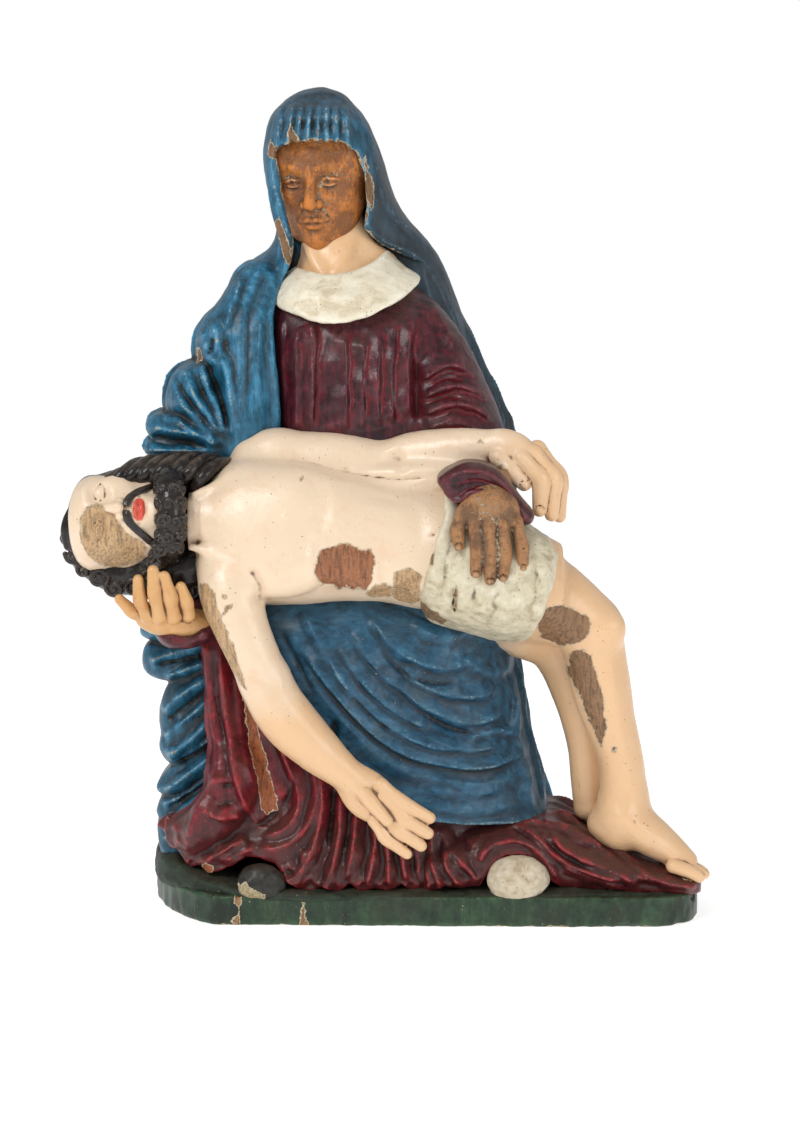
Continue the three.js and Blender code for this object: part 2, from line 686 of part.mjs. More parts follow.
function carveMother(carving) {
  carving.add(limb([[-42, -4, 480, 23], [-36, -12, 440, 27]]), 4);
  // The broad round collar.
  carving.add(ball([-24, -4, 424], [60, 60, 20], [14, -4, 0]), 3);
  const face = frameOf([-46, -2, 505], [1, 0.3, -0.06], [-0.3, 1, -0.12], 0.98);
  addHead(carving, face);
  carveHand(carving, { centre: [75, -132, 276], radii: [19, 9, 17] }, [0, 0, 0],
    [[64, -132, 268], [73, -134, 264], [83, -134, 264], [91, -131, 268], [58, -128, 276]],
    [[64, -134, 233], [74, -135, 229], [85, -134, 230], [98, -130, 238], [53, -130, 256]], 5);
  carveHand(carving, { centre: [-153, -98, 196], radii: [20, 13, 12] }, [0, -10, 0],
    [[-168, -100, 198], [-163, -106, 200], [-156, -108, 200], [-149, -107, 199], [-142, -104, 198]],
    [[-181, -108, 211], [-167, -116, 232], [-161, -118, 238], [-152, -118, 234], [-142, -114, 226]], 5);
}


// The dead son.

// Trunk, shoulders at the left and hips at the right: [x, front, back, bottom, top].
const trunkRows = [
  [-126, -108, -52, 232, 292], [-112, -116, -40, 216, 306], [-92, -121, -34, 206, 311], [-60, -123, -32, 204, 308],
  [-31, -121, -32, 206, 303], [0, -117, -32, 209, 296], [19, -116, -32, 211, 293], [45, -120, -30, 198, 290],
  [83, -124, -30, 184, 268], [110, -120, -40, 182, 256], [128, -112, -55, 186, 246],
];
const loinclothRows = [
  [26, -122, -28, 200, 294], [36, -127, -26, 192, 297], [60, -129, -26, 186, 285], [83, -129, -26, 181, 269],
  [108, -127, -34, 180, 257], [122, -121, -48, 187, 247], [128, -116, -56, 192, 242],
];
const recline = -18; // degrees that his chest leans back from upright, so that it faces up

function leaning(form) {
  const axis = [0, -76, 252];
  const matrix = new THREE.Matrix4().makeTranslation(...axis)
    .multiply(new THREE.Matrix4().makeRotationX(THREE.MathUtils.degToRad(recline)))
    .multiply(new THREE.Matrix4().makeTranslation(...axis.map(v => -v)));
  return placed(form, matrix);
}

function carveSon(carving) {
  carving.add(leaning(loft('x', trunkRows, 2.2)), 2);
  carving.add(ball([-64, -92, 284], [36, 18, 24], [-30, 0, -4]), 8);
  carving.add(ball([-74, -112, 240], [36, 14, 26], [-12, 0, -6]), 8);
  carving.add(ball([44, -98, 240], [26, 24, 34]), 12);
  // Neck, head, hair and beard.
  carving.add(limb([[-108, -82, 264, 25], [-140, -84, 267, 21], [-156, -82, 266, 22]]), 8);
  const face = frameOf([-187, -82, 263], [0, 0.38, 0.92], [0.12, 0.92, -0.38], 0.92);
  addHead(carving, face);
  carving.add(ball([-190, -66, 260], [38, 34, 38]), 3);
  carving.add(limb([[-196, -66, 262, 32], [-150, -60, 262, 34], [-110, -50, 272, 28]]), 4);
  carving.add(limb([[-204, -76, 236, 17], [-166, -80, 228, 20], [-136, -76, 232, 20]]), 4);
  carving.add(ball([-150, -96, 264], [11, 24, 33]), 4);
  for (const lane of [0, 1, 2]) {
    const back = -84 + lane * 11;
    carving.add(limb([[-218, back, 266 + lane * 4, 6], [-205, back, 286, 7], [-172, back, 300 - lane * 2, 8],
      [-134, back + 8, 303, 8], [-102, back + 16, 299, 7]]), 2);
    carving.add(limb([[-222, back - 4, 248, 7], [-214, back - 6, 224, 9], [-194, back - 6, 212, 10],
      [-162, back - 4, 214, 12], [-134, back, 218, 11]]), 2);
  }
  carving.add(limb([[-150, -88, 298, 9], [-143, -112, 284, 10], [-142, -120, 266, 11], [-145, -112, 246, 10],
    [-154, -96, 230, 9]]), 4);
  // The far arm, laid along the body with its hand over the mother's wrist.
  carving.add(limb([[-84, -54, 312, 19], [-58, -52, 310, 19], [-34, -54, 306, 17], [0, -58, 305, 12]]), 6);
  carving.add(limb([[0, -58, 306, 12], [24, -64, 313, 14], [52, -72, 319, 14], [84, -84, 318, 12]]), 4);
  carveHand(carving, { centre: [102, -90, 311], radii: [18, 10, 12] }, [0, 40, 0],
    [[112, -88, 308], [113, -94, 306], [110, -99, 304], [104, -103, 304], [98, -102, 308]],
    [[121, -88, 276], [119, -98, 270], [113, -106, 272], [106, -110, 276], [97, -110, 292]], 5);
  // The near arm, hanging in front of the robe.
  carving.add(limb([[-112, -92, 236, 23], [-108, -104, 215, 22], [-97, -112, 182, 18], [-82, -116, 152, 18]]), 8);
  carving.add(limb([[-82, -116, 152, 18], [-72, -118, 134, 20], [-50, -120, 110, 18], [-18, -122, 83, 11]]), 5);
  carveHand(carving, { centre: [2, -122, 66], radii: [24, 8, 16] }, [0, 42, 0],
    [[14, -122, 68], [13, -124, 60], [8, -124, 53], [0, -122, 49], [-6, -126, 68]],
    [[36, -120, 56], [34, -122, 45], [29, -122, 37], [16, -120, 31], [12, -130, 56]], 5);
  // Legs and feet.
  carving.add(limb([[92, -76, 214, 36], [112, -84, 212, 33], [136, -88, 200, 25], [152, -88, 187, 20]]), 8);
  carving.add(limb([[152, -88, 187, 20], [160, -87, 152, 16], [170, -86, 107, 15], [175, -86, 70, 14],
    [178, -86, 46, 14]]), 5);
  carving.add(limb([[172, -86, 42, 15], [192, -90, 31, 13], [212, -94, 22, 10], [226, -97, 14, 6]],
    [1, 1.35, 0.85]), 4);
  carving.add(ball([159, -84, 38], [13, 12, 13]), 4);
  carving.add(limb([[100, -56, 196, 32], [128, -52, 172, 21], [139, -50, 132, 16], [147, -52, 86, 11],
    [154, -56, 58, 12]]), 8);
  carving.add(limb([[152, -54, 48, 13], [174, -56, 36, 11], [196, -58, 24, 9]], [1, 1.2, 0.8]), 5);
  carving.add(leaning(loft('x', loinclothRows, 2.3)), 2);
}

function carveStones(carving) {
  carving.add(ball([-90, -112, 6], [14, 10, 10]), 1);
  carving.add(ball([96, -111, 12], [20, 12, 19]), 1);
}


// Solids.

const wasm = await Module();
wasm.setup();

function solidOf(geometry) {
  const bare = geometry.clone();
  bare.deleteAttribute('normal');
  bare.deleteAttribute('uv');
  const merged = mergeVertices(bare, 1e-4);
  return new wasm.Manifold(new wasm.Mesh({
    numProp: 3,
    vertProperties: new Float32Array(merged.attributes.position.array),
    triVerts: new Uint32Array(merged.index.array),
  }));
}

function carvedFigures() {
  const cloth = new Block(block, cellSize);
  carveCloth(cloth);
  const flesh = new Block(block, cellSize);
  carveMother(flesh);
  carveSon(flesh);
  carveStones(flesh);
  cloth.join(flesh);
  closeTouching(cloth);
  const { positions, triangles } = thinned(largestBody(surfaceOf(cloth)), facetCount);
  const geometry = new THREE.BufferGeometry();
  geometry.setAttribute('position', new THREE.Float32BufferAttribute(positions, 3));
  geometry.setIndex(triangles);
  const size = figuresHeight / drawnHeight;
  geometry.scale(size, size, size);
  geometry.translate(0, 0, plinthThickness);
  return solidOf(geometry);
}

// The plinth's outline seen from above: straight in front, round at the left, rounded corners at the right.
function plinthOutline(inset) {
  const [left, right] = [-plinthLeft + inset, plinthRight - inset];
  const [front, back] = [-plinthFront + inset, plinthBack - inset];
  const outline = new THREE.Shape();
  outline.moveTo(left * 0.62, front);
  outline.lineTo(right - plinthCornerRight, front);
  outline.bezierCurveTo(right - 8, front + 4, right, front + 22, right, front + 52);
  outline.bezierCurveTo(right - 2, front + 80, right - 60, back, right - 110, back);
  outline.lineTo(left * 0.62, back);
  outline.bezierCurveTo(left * 0.94, back, left, back - 40, left, 0);
  outline.bezierCurveTo(left, front + 70, left * 0.86, front + 14, left * 0.62, front);
  return outline;
}

function plinth() {
  const body = new THREE.ExtrudeGeometry(plinthOutline(plinthEdgeRound), {
    depth: plinthThickness - 2 * plinthEdgeRound,
    bevelEnabled: true,
    bevelThickness: plinthEdgeRound,
    bevelSize: plinthEdgeRound,
    bevelSegments: 1,
    curveSegments: 10,
  });
  body.translate(0, 0, plinthEdgeRound);
  return solidOf(body);
}

// The drying cracks run up the front edge of the plinth.
function cracks() {
  return crackPlaces.map(x => {
    const crack = new THREE.BoxGeometry(crackWidth, 2 * crackDepth, plinthThickness + 2);
    crack.translate(x, -plinthFront, plinthThickness / 2);
    return solidOf(crack);
  });
}

// Sawing the underside flat.
function belowGround() {
  const depth = 60;
  const slab = new THREE.BoxGeometry(800, 600, depth);
  slab.translate(0, 0, -depth / 2);
  return solidOf(slab);
}

function groupGeometry() {
  let body = carvedFigures().add(plinth()).subtract(belowGround());
  for (const crack of cracks()) body = body.subtract(crack);
  const mesh = body.getMesh();
  const geometry = new THREE.BufferGeometry();
  geometry.setAttribute('position', new THREE.BufferAttribute(new Float32Array(mesh.vertProperties), 3));
  geometry.setIndex(new THREE.BufferAttribute(new Uint32Array(mesh.triVerts), 1));
  geometry.computeBoundingBox();
  const { min, max } = geometry.boundingBox;
  geometry.translate(-(min.x + max.x) / 2, -(min.y + max.y) / 2, -min.z);
  geometry.computeVertexNormals();
  return geometry;
}

const paintedWood = new THREE.MeshStandardMaterial({ color: '#6f4a3d', roughness: 0.5, metalness: 0 });
const group = new THREE.Group();
const carved = new THREE.Mesh(groupGeometry(), paintedWood);
carved.name = 'pieta_group';
group.add(carved);

export default group;
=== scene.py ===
"""A painted wood carving of a mourning mother with her son on her knees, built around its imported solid."""
import math

import bpy
import numpy as np
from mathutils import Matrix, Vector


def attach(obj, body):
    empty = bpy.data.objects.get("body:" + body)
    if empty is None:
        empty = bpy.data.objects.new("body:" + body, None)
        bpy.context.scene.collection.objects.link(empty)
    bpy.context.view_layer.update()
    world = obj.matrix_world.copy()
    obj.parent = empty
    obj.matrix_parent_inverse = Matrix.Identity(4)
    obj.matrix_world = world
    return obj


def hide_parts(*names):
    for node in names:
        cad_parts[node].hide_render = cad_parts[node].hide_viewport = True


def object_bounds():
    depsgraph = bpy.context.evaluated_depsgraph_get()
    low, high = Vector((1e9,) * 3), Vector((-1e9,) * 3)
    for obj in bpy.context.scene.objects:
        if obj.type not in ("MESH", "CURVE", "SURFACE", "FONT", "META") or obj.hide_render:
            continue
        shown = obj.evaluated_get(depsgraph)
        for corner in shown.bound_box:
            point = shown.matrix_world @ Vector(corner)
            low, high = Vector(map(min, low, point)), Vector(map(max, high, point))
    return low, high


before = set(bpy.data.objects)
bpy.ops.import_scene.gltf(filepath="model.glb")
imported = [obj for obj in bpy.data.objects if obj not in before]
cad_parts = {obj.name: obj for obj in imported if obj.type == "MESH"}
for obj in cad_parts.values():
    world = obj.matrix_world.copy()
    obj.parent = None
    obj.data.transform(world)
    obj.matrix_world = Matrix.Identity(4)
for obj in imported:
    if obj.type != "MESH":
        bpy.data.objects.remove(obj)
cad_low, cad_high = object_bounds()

# The board: the flat foot of the carved limewood block, sawn to shape with rounded corners and cracked by
# age. It is painted dark green over a chalk ground, and its lower edge has lost chips down to the chalk and
# wood.
MM = 0.001
BOARD_THICK = 22.0
BOARD_LEFT, BOARD_RIGHT, BOARD_FRONT, BOARD_BACK = -172.0, 229.0, -125.0, 106.0
BOARD_CORNER = 40.0
DRAWN_LOW = np.array([-229.0, -141.8, -BOARD_THICK])  # where the drawing of the group begins, mm
ORIGIN = np.array(cad_low) / MM - DRAWN_LOW  # the drawing's zero in the frame: it lies on top of the board
CELL = 1.0  # all carving grids grow by this while trying things out
FAR = 40.0


def soft_min(a, b, blend):
    if not blend:
        return np.minimum(a, b)
    near = np.maximum(blend - np.abs(a - b), 0)
    return np.minimum(a, b) - near * near / (4 * blend)


def ease(t):
    t = np.clip(t, 0, 1)
    return t * t * (3 - 2 * t)


def curve(points, steps=6, closed=False):
    """A smooth curve through the points, with any number of columns."""
    p = np.array(points, float)
    if closed:
        p = np.vstack([p[-1:], p, p[:2]])
    else:
        p = np.vstack([2 * p[0] - p[1], p, 2 * p[-1] - p[-2]])
    t = (np.arange(steps) / steps)[:, None]
    spans = [
        b + t * (c - a) / 2 + t * t * (a - 2.5 * b + 2 * c - d / 2) + t**3 * (1.5 * (b - c) + (d - a) / 2)
        for a, b, c, d in zip(p, p[1:], p[2:], p[3:])
    ]
    return np.vstack(spans if closed else [*spans, p[-2:-1]])


def turning(turn):
    """The matrix for turns about x, then y, then z, in degrees."""
    x, y, z = np.radians(turn)
    about_x = np.array([[1, 0, 0], [0, math.cos(x), -math.sin(x)], [0, math.sin(x), math.cos(x)]])
    about_y = np.array([[math.cos(y), 0, math.sin(y)], [0, 1, 0], [-math.sin(y), 0, math.cos(y)]])
    about_z = np.array([[math.cos(z), -math.sin(z), 0], [math.sin(z), math.cos(z), 0], [0, 0, 1]])
    return about_z @ about_y @ about_x


class Form:
    """A shape to add to a block or cut from it: the box it fills and its distance in mm at x, y, z."""

    def __init__(self, low, high, distance, parts=()):
        self.low, self.high = np.array(low, float), np.array(high, float)
        self.distance, self.parts = distance, parts


def ball(centre, radii, turn=None):
    c, r = np.array(centre, float), np.array(radii, float) * np.ones(3)
    m = np.eye(3) if turn is None else turning(turn)
    reach = np.sqrt((m * m) @ (r * r))

    def distance(x, y, z):
        x, y, z = x - c[0], y - c[1], z - c[2]
        if turn is not None:
            x, y, z = [m[0, i] * x + m[1, i] * y + m[2, i] * z for i in range(3)]
        q = np.sqrt((x / r[0]) ** 2 + (y / r[1]) ** 2 + (z / r[2]) ** 2)
        g = np.sqrt((x / r[0] ** 2) ** 2 + (y / r[1] ** 2) ** 2 + (z / r[2] ** 2) ** 2)
        return q * (q - 1) / np.maximum(g, 1e-4)

    return Form(c - reach, c + reach, distance)


def limb(stations, stretch=(1, 1, 1), steps=5):
    """A round form that swells and thins along a curve. A station is x, y, z, radius."""
    line, s = curve(stations, steps), np.array(stretch, float)

    def capsule(a, b):
        along = (b - a)[:3]
        size = max(along @ along, 1e-6)
        reach = max(a[3], b[3]) * s

        def distance(x, y, z):
            t = ((x - a[0]) * along[0] + (y - a[1]) * along[1] + (z - a[2]) * along[2]) / size
            t = np.clip(t, 0, 1)
            across = [(p - a[i] - t * along[i]) / s[i] for i, p in enumerate((x, y, z))]
            return np.sqrt(across[0] ** 2 + across[1] ** 2 + across[2] ** 2) - (a[3] + (b[3] - a[3]) * t)

        return Form(np.minimum(a, b)[:3] - reach, np.maximum(a, b)[:3] + reach, distance)

    parts = [capsule(a, b) for a, b in zip(line, line[1:])]
    return Form(
        np.min([p.low for p in parts], 0), np.max([p.high for p in parts], 0), None, parts
    )


def outline_distance(points, u, v):
    """Distance to a closed outline in a plane, below zero inside it."""
    p = np.array(points, float)
    best, inside = np.full(np.broadcast(u, v).shape, 1e9), np.zeros(np.broadcast(u, v).shape, bool)
    for a, b in zip(p, np.roll(p, -1, 0)):
        along = b - a
        t = np.clip(((u - a[0]) * along[0] + (v - a[1]) * along[1]) / max(along @ along, 1e-6), 0, 1)
        best = np.minimum(best, (u - a[0] - t * along[0]) ** 2 + (v - a[1] - t * along[1]) ** 2)
        if a[1] != b[1]:
            over = (v < a[1]) != (v < b[1])
            inside ^= over & (u < a[0] + (v - a[1]) / (b[1] - a[1]) * along[0])
    return np.where(inside, -1, 1) * np.sqrt(best)


def prism(points, axis, low, high, rounding=0.0):
    """An outline in the plane across an axis, given thickness along it and rounded like a pillow if asked."""
    p = np.array(points, float)
    others = [i for i in range(3) if i != axis]

    def distance(x, y, z):
        q = (x, y, z)
        flat = outline_distance(p, q[others[0]], q[others[1]]).astype(np.float32)
        slab = np.abs(q[axis] - (low + high) / 2) - (high - low) / 2
        return -soft_min(-flat, -slab, rounding)

    a, b = np.zeros(3), np.zeros(3)
    a[axis], b[axis] = low, high
    a[others], b[others] = p.min(0), p.max(0)
    return Form(a, b, distance)


class Block:
    """Wood on an even grid, as distances in mm to the carved surface. Wood is below zero."""

    def __init__(self, low, high, cell):
        self.cell, self.low = cell * CELL, np.array(low, float)
        count = np.ceil((np.array(high) - self.low) / self.cell).astype(int) + 1
        self.d = np.full(count, FAR, np.float32)

    def window(self, low, high):
        a = np.maximum(np.floor((np.array(low) - self.low) / self.cell).astype(int), 0)
        b = np.minimum(np.ceil((np.array(high) - self.low) / self.cell).astype(int) + 1, self.d.shape)
        b = np.maximum(a, b)
        axes = [
            (self.low[i] + np.arange(a[i], b[i]) * self.cell).astype(np.float32).reshape(
                [-1 if i == j else 1 for j in range(3)]
            )
            for i in range(3)
        ]
        return a, b, axes

    def measure(self, form, reach):
        a, b, axes = self.window(form.low - reach, form.high + reach)
        where = tuple(slice(i, j) for i, j in zip(a, b))
        if not form.parts:
            return where, np.broadcast_to(form.distance(*axes), self.d[where].shape)
        d = np.full(self.d[where].shape, FAR, np.float32)
        for part in form.parts:
            c, e, near = self.window(part.low - reach, part.high + reach)
            if (e > c).all():
                inner = tuple(slice(i - k, j - k) for i, j, k in zip(c, e, a))
                d[inner] = np.minimum(d[inner], part.distance(*near))
        return where, d

    def add(self, form, blend=0.0):
        where, d = self.measure(form, blend + 2 * self.cell + 2)
        self.d[where] = soft_min(self.d[where], d, blend)
        return self

    def cut(self, form, blend=0.0):
        where, d = self.measure(form, blend + 2 * self.cell + 2)
        self.d[where] = -soft_min(-self.d[where], d, blend)
        return self

    def keep(self, distance, blend=0.0):
        """Cuts away all that lies outside a distance given as a function of x, y, z."""
        axes = self.window(self.low, self.low + np.array(self.d.shape) * self.cell)[2]
        self.d = -soft_min(-self.d, -distance(*axes).astype(np.float32), blend)
        return self

    def press(self, sketch, axis, toward):
        """Moves the surface by a sketch's heights, where it faces along the axis."""
        slope = np.gradient(self.d, self.cell, axis=axis)
        self.d -= np.expand_dims(sketch.height, axis).astype(np.float32) * np.clip(toward * slope, 0, 1)
        return self

    def sample(self, field, points):
        p = np.clip((points - self.low) / self.cell, 0, np.array(self.d.shape) - 1.001)
        i = p.astype(int)
        f = p - i
        out = np.zeros(len(p))
        for corner in range(8):
            c = np.array([corner & 1, corner >> 1 & 1, corner >> 2 & 1])
            share = np.prod(np.where(c, f, 1 - f), 1)
            out += share * field[i[:, 0] + c[0], i[:, 1] + c[1], i[:, 2] + c[2]]
        return out

    def surface(self):
        """Points and four-sided faces on the carved surface, one point to each cell that it crosses."""
        d = self.d
        for axis in range(3):
            for end in (0, -1):
                d[tuple(end if i == axis else slice(None) for i in range(3))] = FAR
        wood = d < 0
        cells = tuple(n - 1 for n in d.shape)
        count = np.zeros(cells, np.int8)
        corners = [(i & 1, i >> 1 & 1, i >> 2 & 1) for i in range(8)]
        for c in corners:
            count += wood[tuple(slice(k, k + n) for k, n in zip(c, cells))]
        place = np.nonzero((count > 0) & (count < 8))
        number = np.full(cells, -1, np.int32)
        number[place] = np.arange(len(place[0]))
        at = [d[place[0] + c[0], place[1] + c[1], place[2] + c[2]] for c in corners]
        total, hits = np.zeros((len(place[0]), 3)), np.zeros(len(place[0]))
        for i, a in enumerate(corners):
            for axis in range(3):
                if a[axis]:
                    continue
                j = i | 1 << axis
                crossed = (at[i] < 0) != (at[j] < 0)
                t = at[i] / np.where(crossed, at[i] - at[j], 1)
                for k in range(3):
                    total[:, k] += crossed * (a[k] + (t if k == axis else 0))
                hits += crossed
        points = self.low + (np.stack(place, 1) + total / hits[:, None]) * self.cell
        faces = []
        for axis in range(3):
            u, v = (axis + 1) % 3, (axis + 2) % 3
            first = tuple(slice(None, -1) if i == axis else slice(1, -1) for i in range(3))
            after = tuple(slice(1, None) if i == axis else slice(1, -1) for i in range(3))
            change = wood[first].astype(np.int8) - wood[after]
            edge = np.stack(np.nonzero(change), 1)
            into = change[tuple(edge.T)] > 0
            edge[:, u] += 1
            edge[:, v] += 1
            ring = []
            for du, dv in ((0, 0), (1, 0), (1, 1), (0, 1)):
                cell = edge.copy()
                cell[:, u] -= du
                cell[:, v] -= dv
                ring.append(number[tuple(cell.T)])
            ring = np.stack(ring, 1)
            faces.append(np.where(into[:, None], ring, ring[:, ::-1]))
        return points, np.vstack(faces)

    def crowding(self, radius):
        """How much wood is round each grid point: half at a flat face, more in a hollow, less on a ridge."""
        fill = np.clip(0.5 - self.d / self.cell, 0, 1)
        half = max(1, round(radius / self.cell / 1.7))
        for _ in range(2):
            for axis in range(3):
                pad = [(half + 1, half) if i == axis else (0, 0) for i in range(3)]
                run = np.cumsum(np.pad(fill, pad, mode="edge"), axis=axis, dtype=np.float32)
                n = fill.shape[axis]
                late = run.take(range(2 * half + 1, 2 * half + 1 + n), axis)
                fill = (late - run.take(range(n), axis)) / (2 * half + 1)
        return fill


TABLE = 4096  # random values to pick from
STIR = np.array([73856093, 19349663, 83492791])  # primes that mix a cell's x, y and z


def scatter(points, size, seed):
    """Smooth random values from -1 to 1 at points, that change over about the size given."""
    rng = np.random.default_rng(seed)
    table = rng.uniform(-1, 1, TABLE)
    p = points / size
    i = np.floor(p).astype(np.int64)
    f = p - i
    f = f * f * (3 - 2 * f)
    out = np.zeros(len(p))
    for corner in range(8):
        c = np.array([corner & 1, corner >> 1 & 1, corner >> 2 & 1])
        share = np.prod(np.where(c, f, 1 - f), 1)
        k = (i + c) @ STIR
        out += share * table[(k ^ (k >> 13)) & (TABLE - 1)]
    return out


def largest(points, faces):
    """Drops loose crumbs: keeps the biggest connected skin."""
    label = np.arange(len(points))
    while True:
        lowest = label[faces].min(1)
        new = label.copy()
        for k in range(4):
            np.minimum.at(new, faces[:, k], lowest)
        new = new[new]
        if (new == label).all():
            break
        label = new
    keep = label == np.bincount(label).argmax()
    index = np.cumsum(keep) - 1
    return points[keep], index[faces[keep[faces[:, 0]]]]


def mesh_from(name, points, faces):
    mesh = bpy.data.meshes.new(name)
    mesh.vertices.add(len(points))
    mesh.vertices.foreach_set("co", np.ascontiguousarray(points, np.float32).ravel())
    mesh.loops.add(faces.size)
    mesh.loops.foreach_set("vertex_index", faces.astype(np.int32).ravel())
    mesh.polygons.add(len(faces))
    mesh.polygons.foreach_set("loop_start", np.arange(0, faces.size, faces.shape[1], dtype=np.int32))
    mesh.update(calc_edges=True)
    mesh.validate()
    return mesh


def note(piece, key, values):
    """Writes a number on every point of a piece, for its paint to read."""
    piece.data.attributes.new(key, "FLOAT", "POINT").data.foreach_set(
        "value", np.asarray(values, np.float32),
    )


def carved(block, name, most, touch=0.35, seed=1, place=None, hollow=5.0):
    """Turns a block into a piece of the group with at most so many triangles; gives it and its points, mm."""
    points, faces = largest(*block.surface())
    mesh = mesh_from(name, points, faces)
    piece = bpy.data.objects.new(name, mesh)
    bpy.context.scene.collection.objects.link(piece)
    triangles = 2 * len(faces)
    if triangles > most:
        thin = piece.modifiers.new("thin", "DECIMATE")
        thin.ratio = most / triangles
        thin.use_collapse_triangulate = True
        done = bpy.data.meshes.new_from_object(piece.evaluated_get(bpy.context.evaluated_depsgraph_get()))
        piece.modifiers.clear()
        piece.data = done
        bpy.data.meshes.remove(mesh)
        mesh = done
    n = len(mesh.vertices)
    points, normals = np.zeros(n * 3, np.float32), np.zeros(n * 3, np.float32)
    mesh.vertices.foreach_get("co", points)
    mesh.vertices.foreach_get("normal", normals)
    points, normals = points.reshape(-1, 3).astype(float), normals.reshape(-1, 3)
    for key, radius in (("hollow", hollow), ("nick", hollow / 2.5)):
        note(piece, key, block.sample(block.crowding(radius), points))
    rough = scatter(points, 9, seed) + 0.5 * scatter(points, 4, seed + 1)
    points = points + normals * (touch * rough)[:, None]
    if place is not None:
        points = place(points)
    mesh.vertices.foreach_set("co", ((points + ORIGIN) * MM).astype(np.float32).ravel())
    mesh.polygons.foreach_set("use_smooth", np.ones(len(mesh.polygons), bool))
    mesh.update()
    mesh.vertices.foreach_get("normal", normals.reshape(-1))
    note(piece, "up", normals[:, 2])
    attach(piece, "root")
    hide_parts("pieta_group")
    return piece, points


class Value:
    """A number or colour that changes over a surface: a node's output, with arithmetic on it."""

    def __init__(self, finish, link):
        self.finish, self.link = finish, link

    def work(self, operation, *values):
        return self.finish.node("ShaderNodeMath", {"operation": operation}, values)

    def __add__(self, other):
        return self.work("ADD", self, other)

    def __mul__(self, other):
        return self.work("MULTIPLY", self, other)

    def __sub__(self, other):
        return self.work("SUBTRACT", self, other)

    def __rsub__(self, other):
        return self.work("SUBTRACT", other, self)

    __radd__, __rmul__ = __add__, __mul__

    def most(self, other):
        return self.work("MAXIMUM", self, other)

    def rise(self, low, high):
        """0 below low, 1 above high, smooth between; falls instead where low is the higher."""
        settings = {"interpolation_type": "SMOOTHSTEP"}
        if low < high:
            return self.finish.node("ShaderNodeMapRange", settings, (self, low, high, 0.0, 1.0))
        return self.finish.node("ShaderNodeMapRange", settings, (self, high, low, 1.0, 0.0))


class Finish:
    """A material whose nodes are written as expressions. Lengths are in mm on the object."""

    def __init__(self, name):
        self.material = bpy.data.materials.new(name)
        self.material.use_nodes = True
        self.tree = self.material.node_tree
        self.tree.nodes.clear()
        self.place = self.node("ShaderNodeTexCoord", out="Object")

    def node(self, kind, settings=None, inputs=(), out=0):
        made = self.tree.nodes.new(kind)
        for key, value in (settings or {}).items():
            setattr(made, key, value)
        for key, value in inputs.items() if isinstance(inputs, dict) else enumerate(inputs):
            if isinstance(value, Value):
                self.tree.links.new(value.link, made.inputs[key])
            else:
                made.inputs[key].default_value = value
        return Value(self, made.outputs[out])

    def written(self, key):
        """A number that was noted on the piece's points."""
        return self.node("ShaderNodeAttribute", {"attribute_name": key}, out="Fac")

    def spot(self, stretch):
        if stretch is None:
            return self.place
        return self.node("ShaderNodeVectorMath", {"operation": "MULTIPLY"}, (self.place, stretch))

    def noise(self, size, detail=2.0, stretch=None, rough=0.55, bend=0.0):
        inputs = {"Scale": 1 / (size * MM), "Detail": detail, "Roughness": rough, "Distortion": bend}
        return self.node("ShaderNodeTexNoise", None, {"Vector": self.spot(stretch), **inputs})

    def cells(self, size, feature="F1", stretch=None, out="Distance"):
        inputs = {"Vector": self.spot(stretch), "Scale": 1 / (size * MM)}
        return self.node("ShaderNodeTexVoronoi", {"feature": feature}, inputs, out)

    def mix(self, under, over, share):
        rgba = [(*c, 1.0) if isinstance(c, tuple) else c for c in (under, over)]
        return self.node("ShaderNodeMix", {"data_type": "RGBA"}, {0: share, 6: rgba[0], 7: rgba[1]}, 2)

    def pits(self, size, wide, share):
        """Small round holes and specks: their mask. share is how many of the cells have one."""
        chance = self.node("ShaderNodeSeparateColor", None, (self.cells(size, out="Color"),))
        return self.cells(size).rise(wide / size, wide / size * 0.55) * chance.rise(1 - share, 1.02 - share)

    def edges(self, key):
        """The ragged edge of a lost patch: where the paint ends, and inside it where the chalk ends."""
        edge = self.written(key) + (self.noise(
            3.4, 5.0, None, 0.75,
        ) - 0.5) * 4.6 + (self.noise(10, 2.0) - 0.5) * 6.0
        return edge.rise(0.2, -0.1), edge.rise(-0.35, -0.8)

    def grained(self, wood):
        """Old bare wood of a colour, darker in the grain."""
        grain = self.noise(2.0, 4.0, (1, 1, 0.12), 0.7, 0.4) * 0.7 + self.noise(1.7, 3.0) * 0.3
        return self.mix(tuple(0.4 * c for c in wood), wood, grain.rise(0.36, 0.58))

    def uncover(self, colour, rough, height, lost, inside, wood):
        """Takes the paint away where lost is 1, down to chalk ground, and to wood where inside is 1."""
        colour = self.mix(self.mix(colour, CHALK, lost), wood, inside)
        ribs = self.noise(2.0, 4.0, (1, 1, 0.12), 0.7, 0.4) * 0.4
        return colour, rough + lost * 0.3, height - lost * 0.4 - inside * 0.35 + ribs * inside

    def close(self, colour, rough, height, coat=0.0, coat_rough=0.25, shine=0.3):
        """Ends the finish: height is a relief in mm, coat the varnish."""
        bump = self.node("ShaderNodeBump", None, {"Strength": 1.0, "Distance": MM, "Height": height})
        inputs = {"Base Color": colour, "Roughness": rough, "Normal": bump, "Specular IOR Level": shine}
        inputs.update({"Coat Weight": coat, "Coat Roughness": coat_rough})
        skin = self.node("ShaderNodeBsdfPrincipled", None, inputs)
        output = self.tree.nodes.new("ShaderNodeOutputMaterial")
        self.tree.links.new(skin.link, output.inputs["Surface"])
        return self.material


CHALK = (0.56, 0.46, 0.32)  # chalk ground under the paint, yellowed
TAN_WOOD = (0.53, 0.34, 0.175)
# Near black for dirt, specks and painted shade in hollows, and grey-brown for dust.
DIRT_AND_SHADE, DUST = (0.018, 0.014, 0.01), (0.085, 0.06, 0.042)


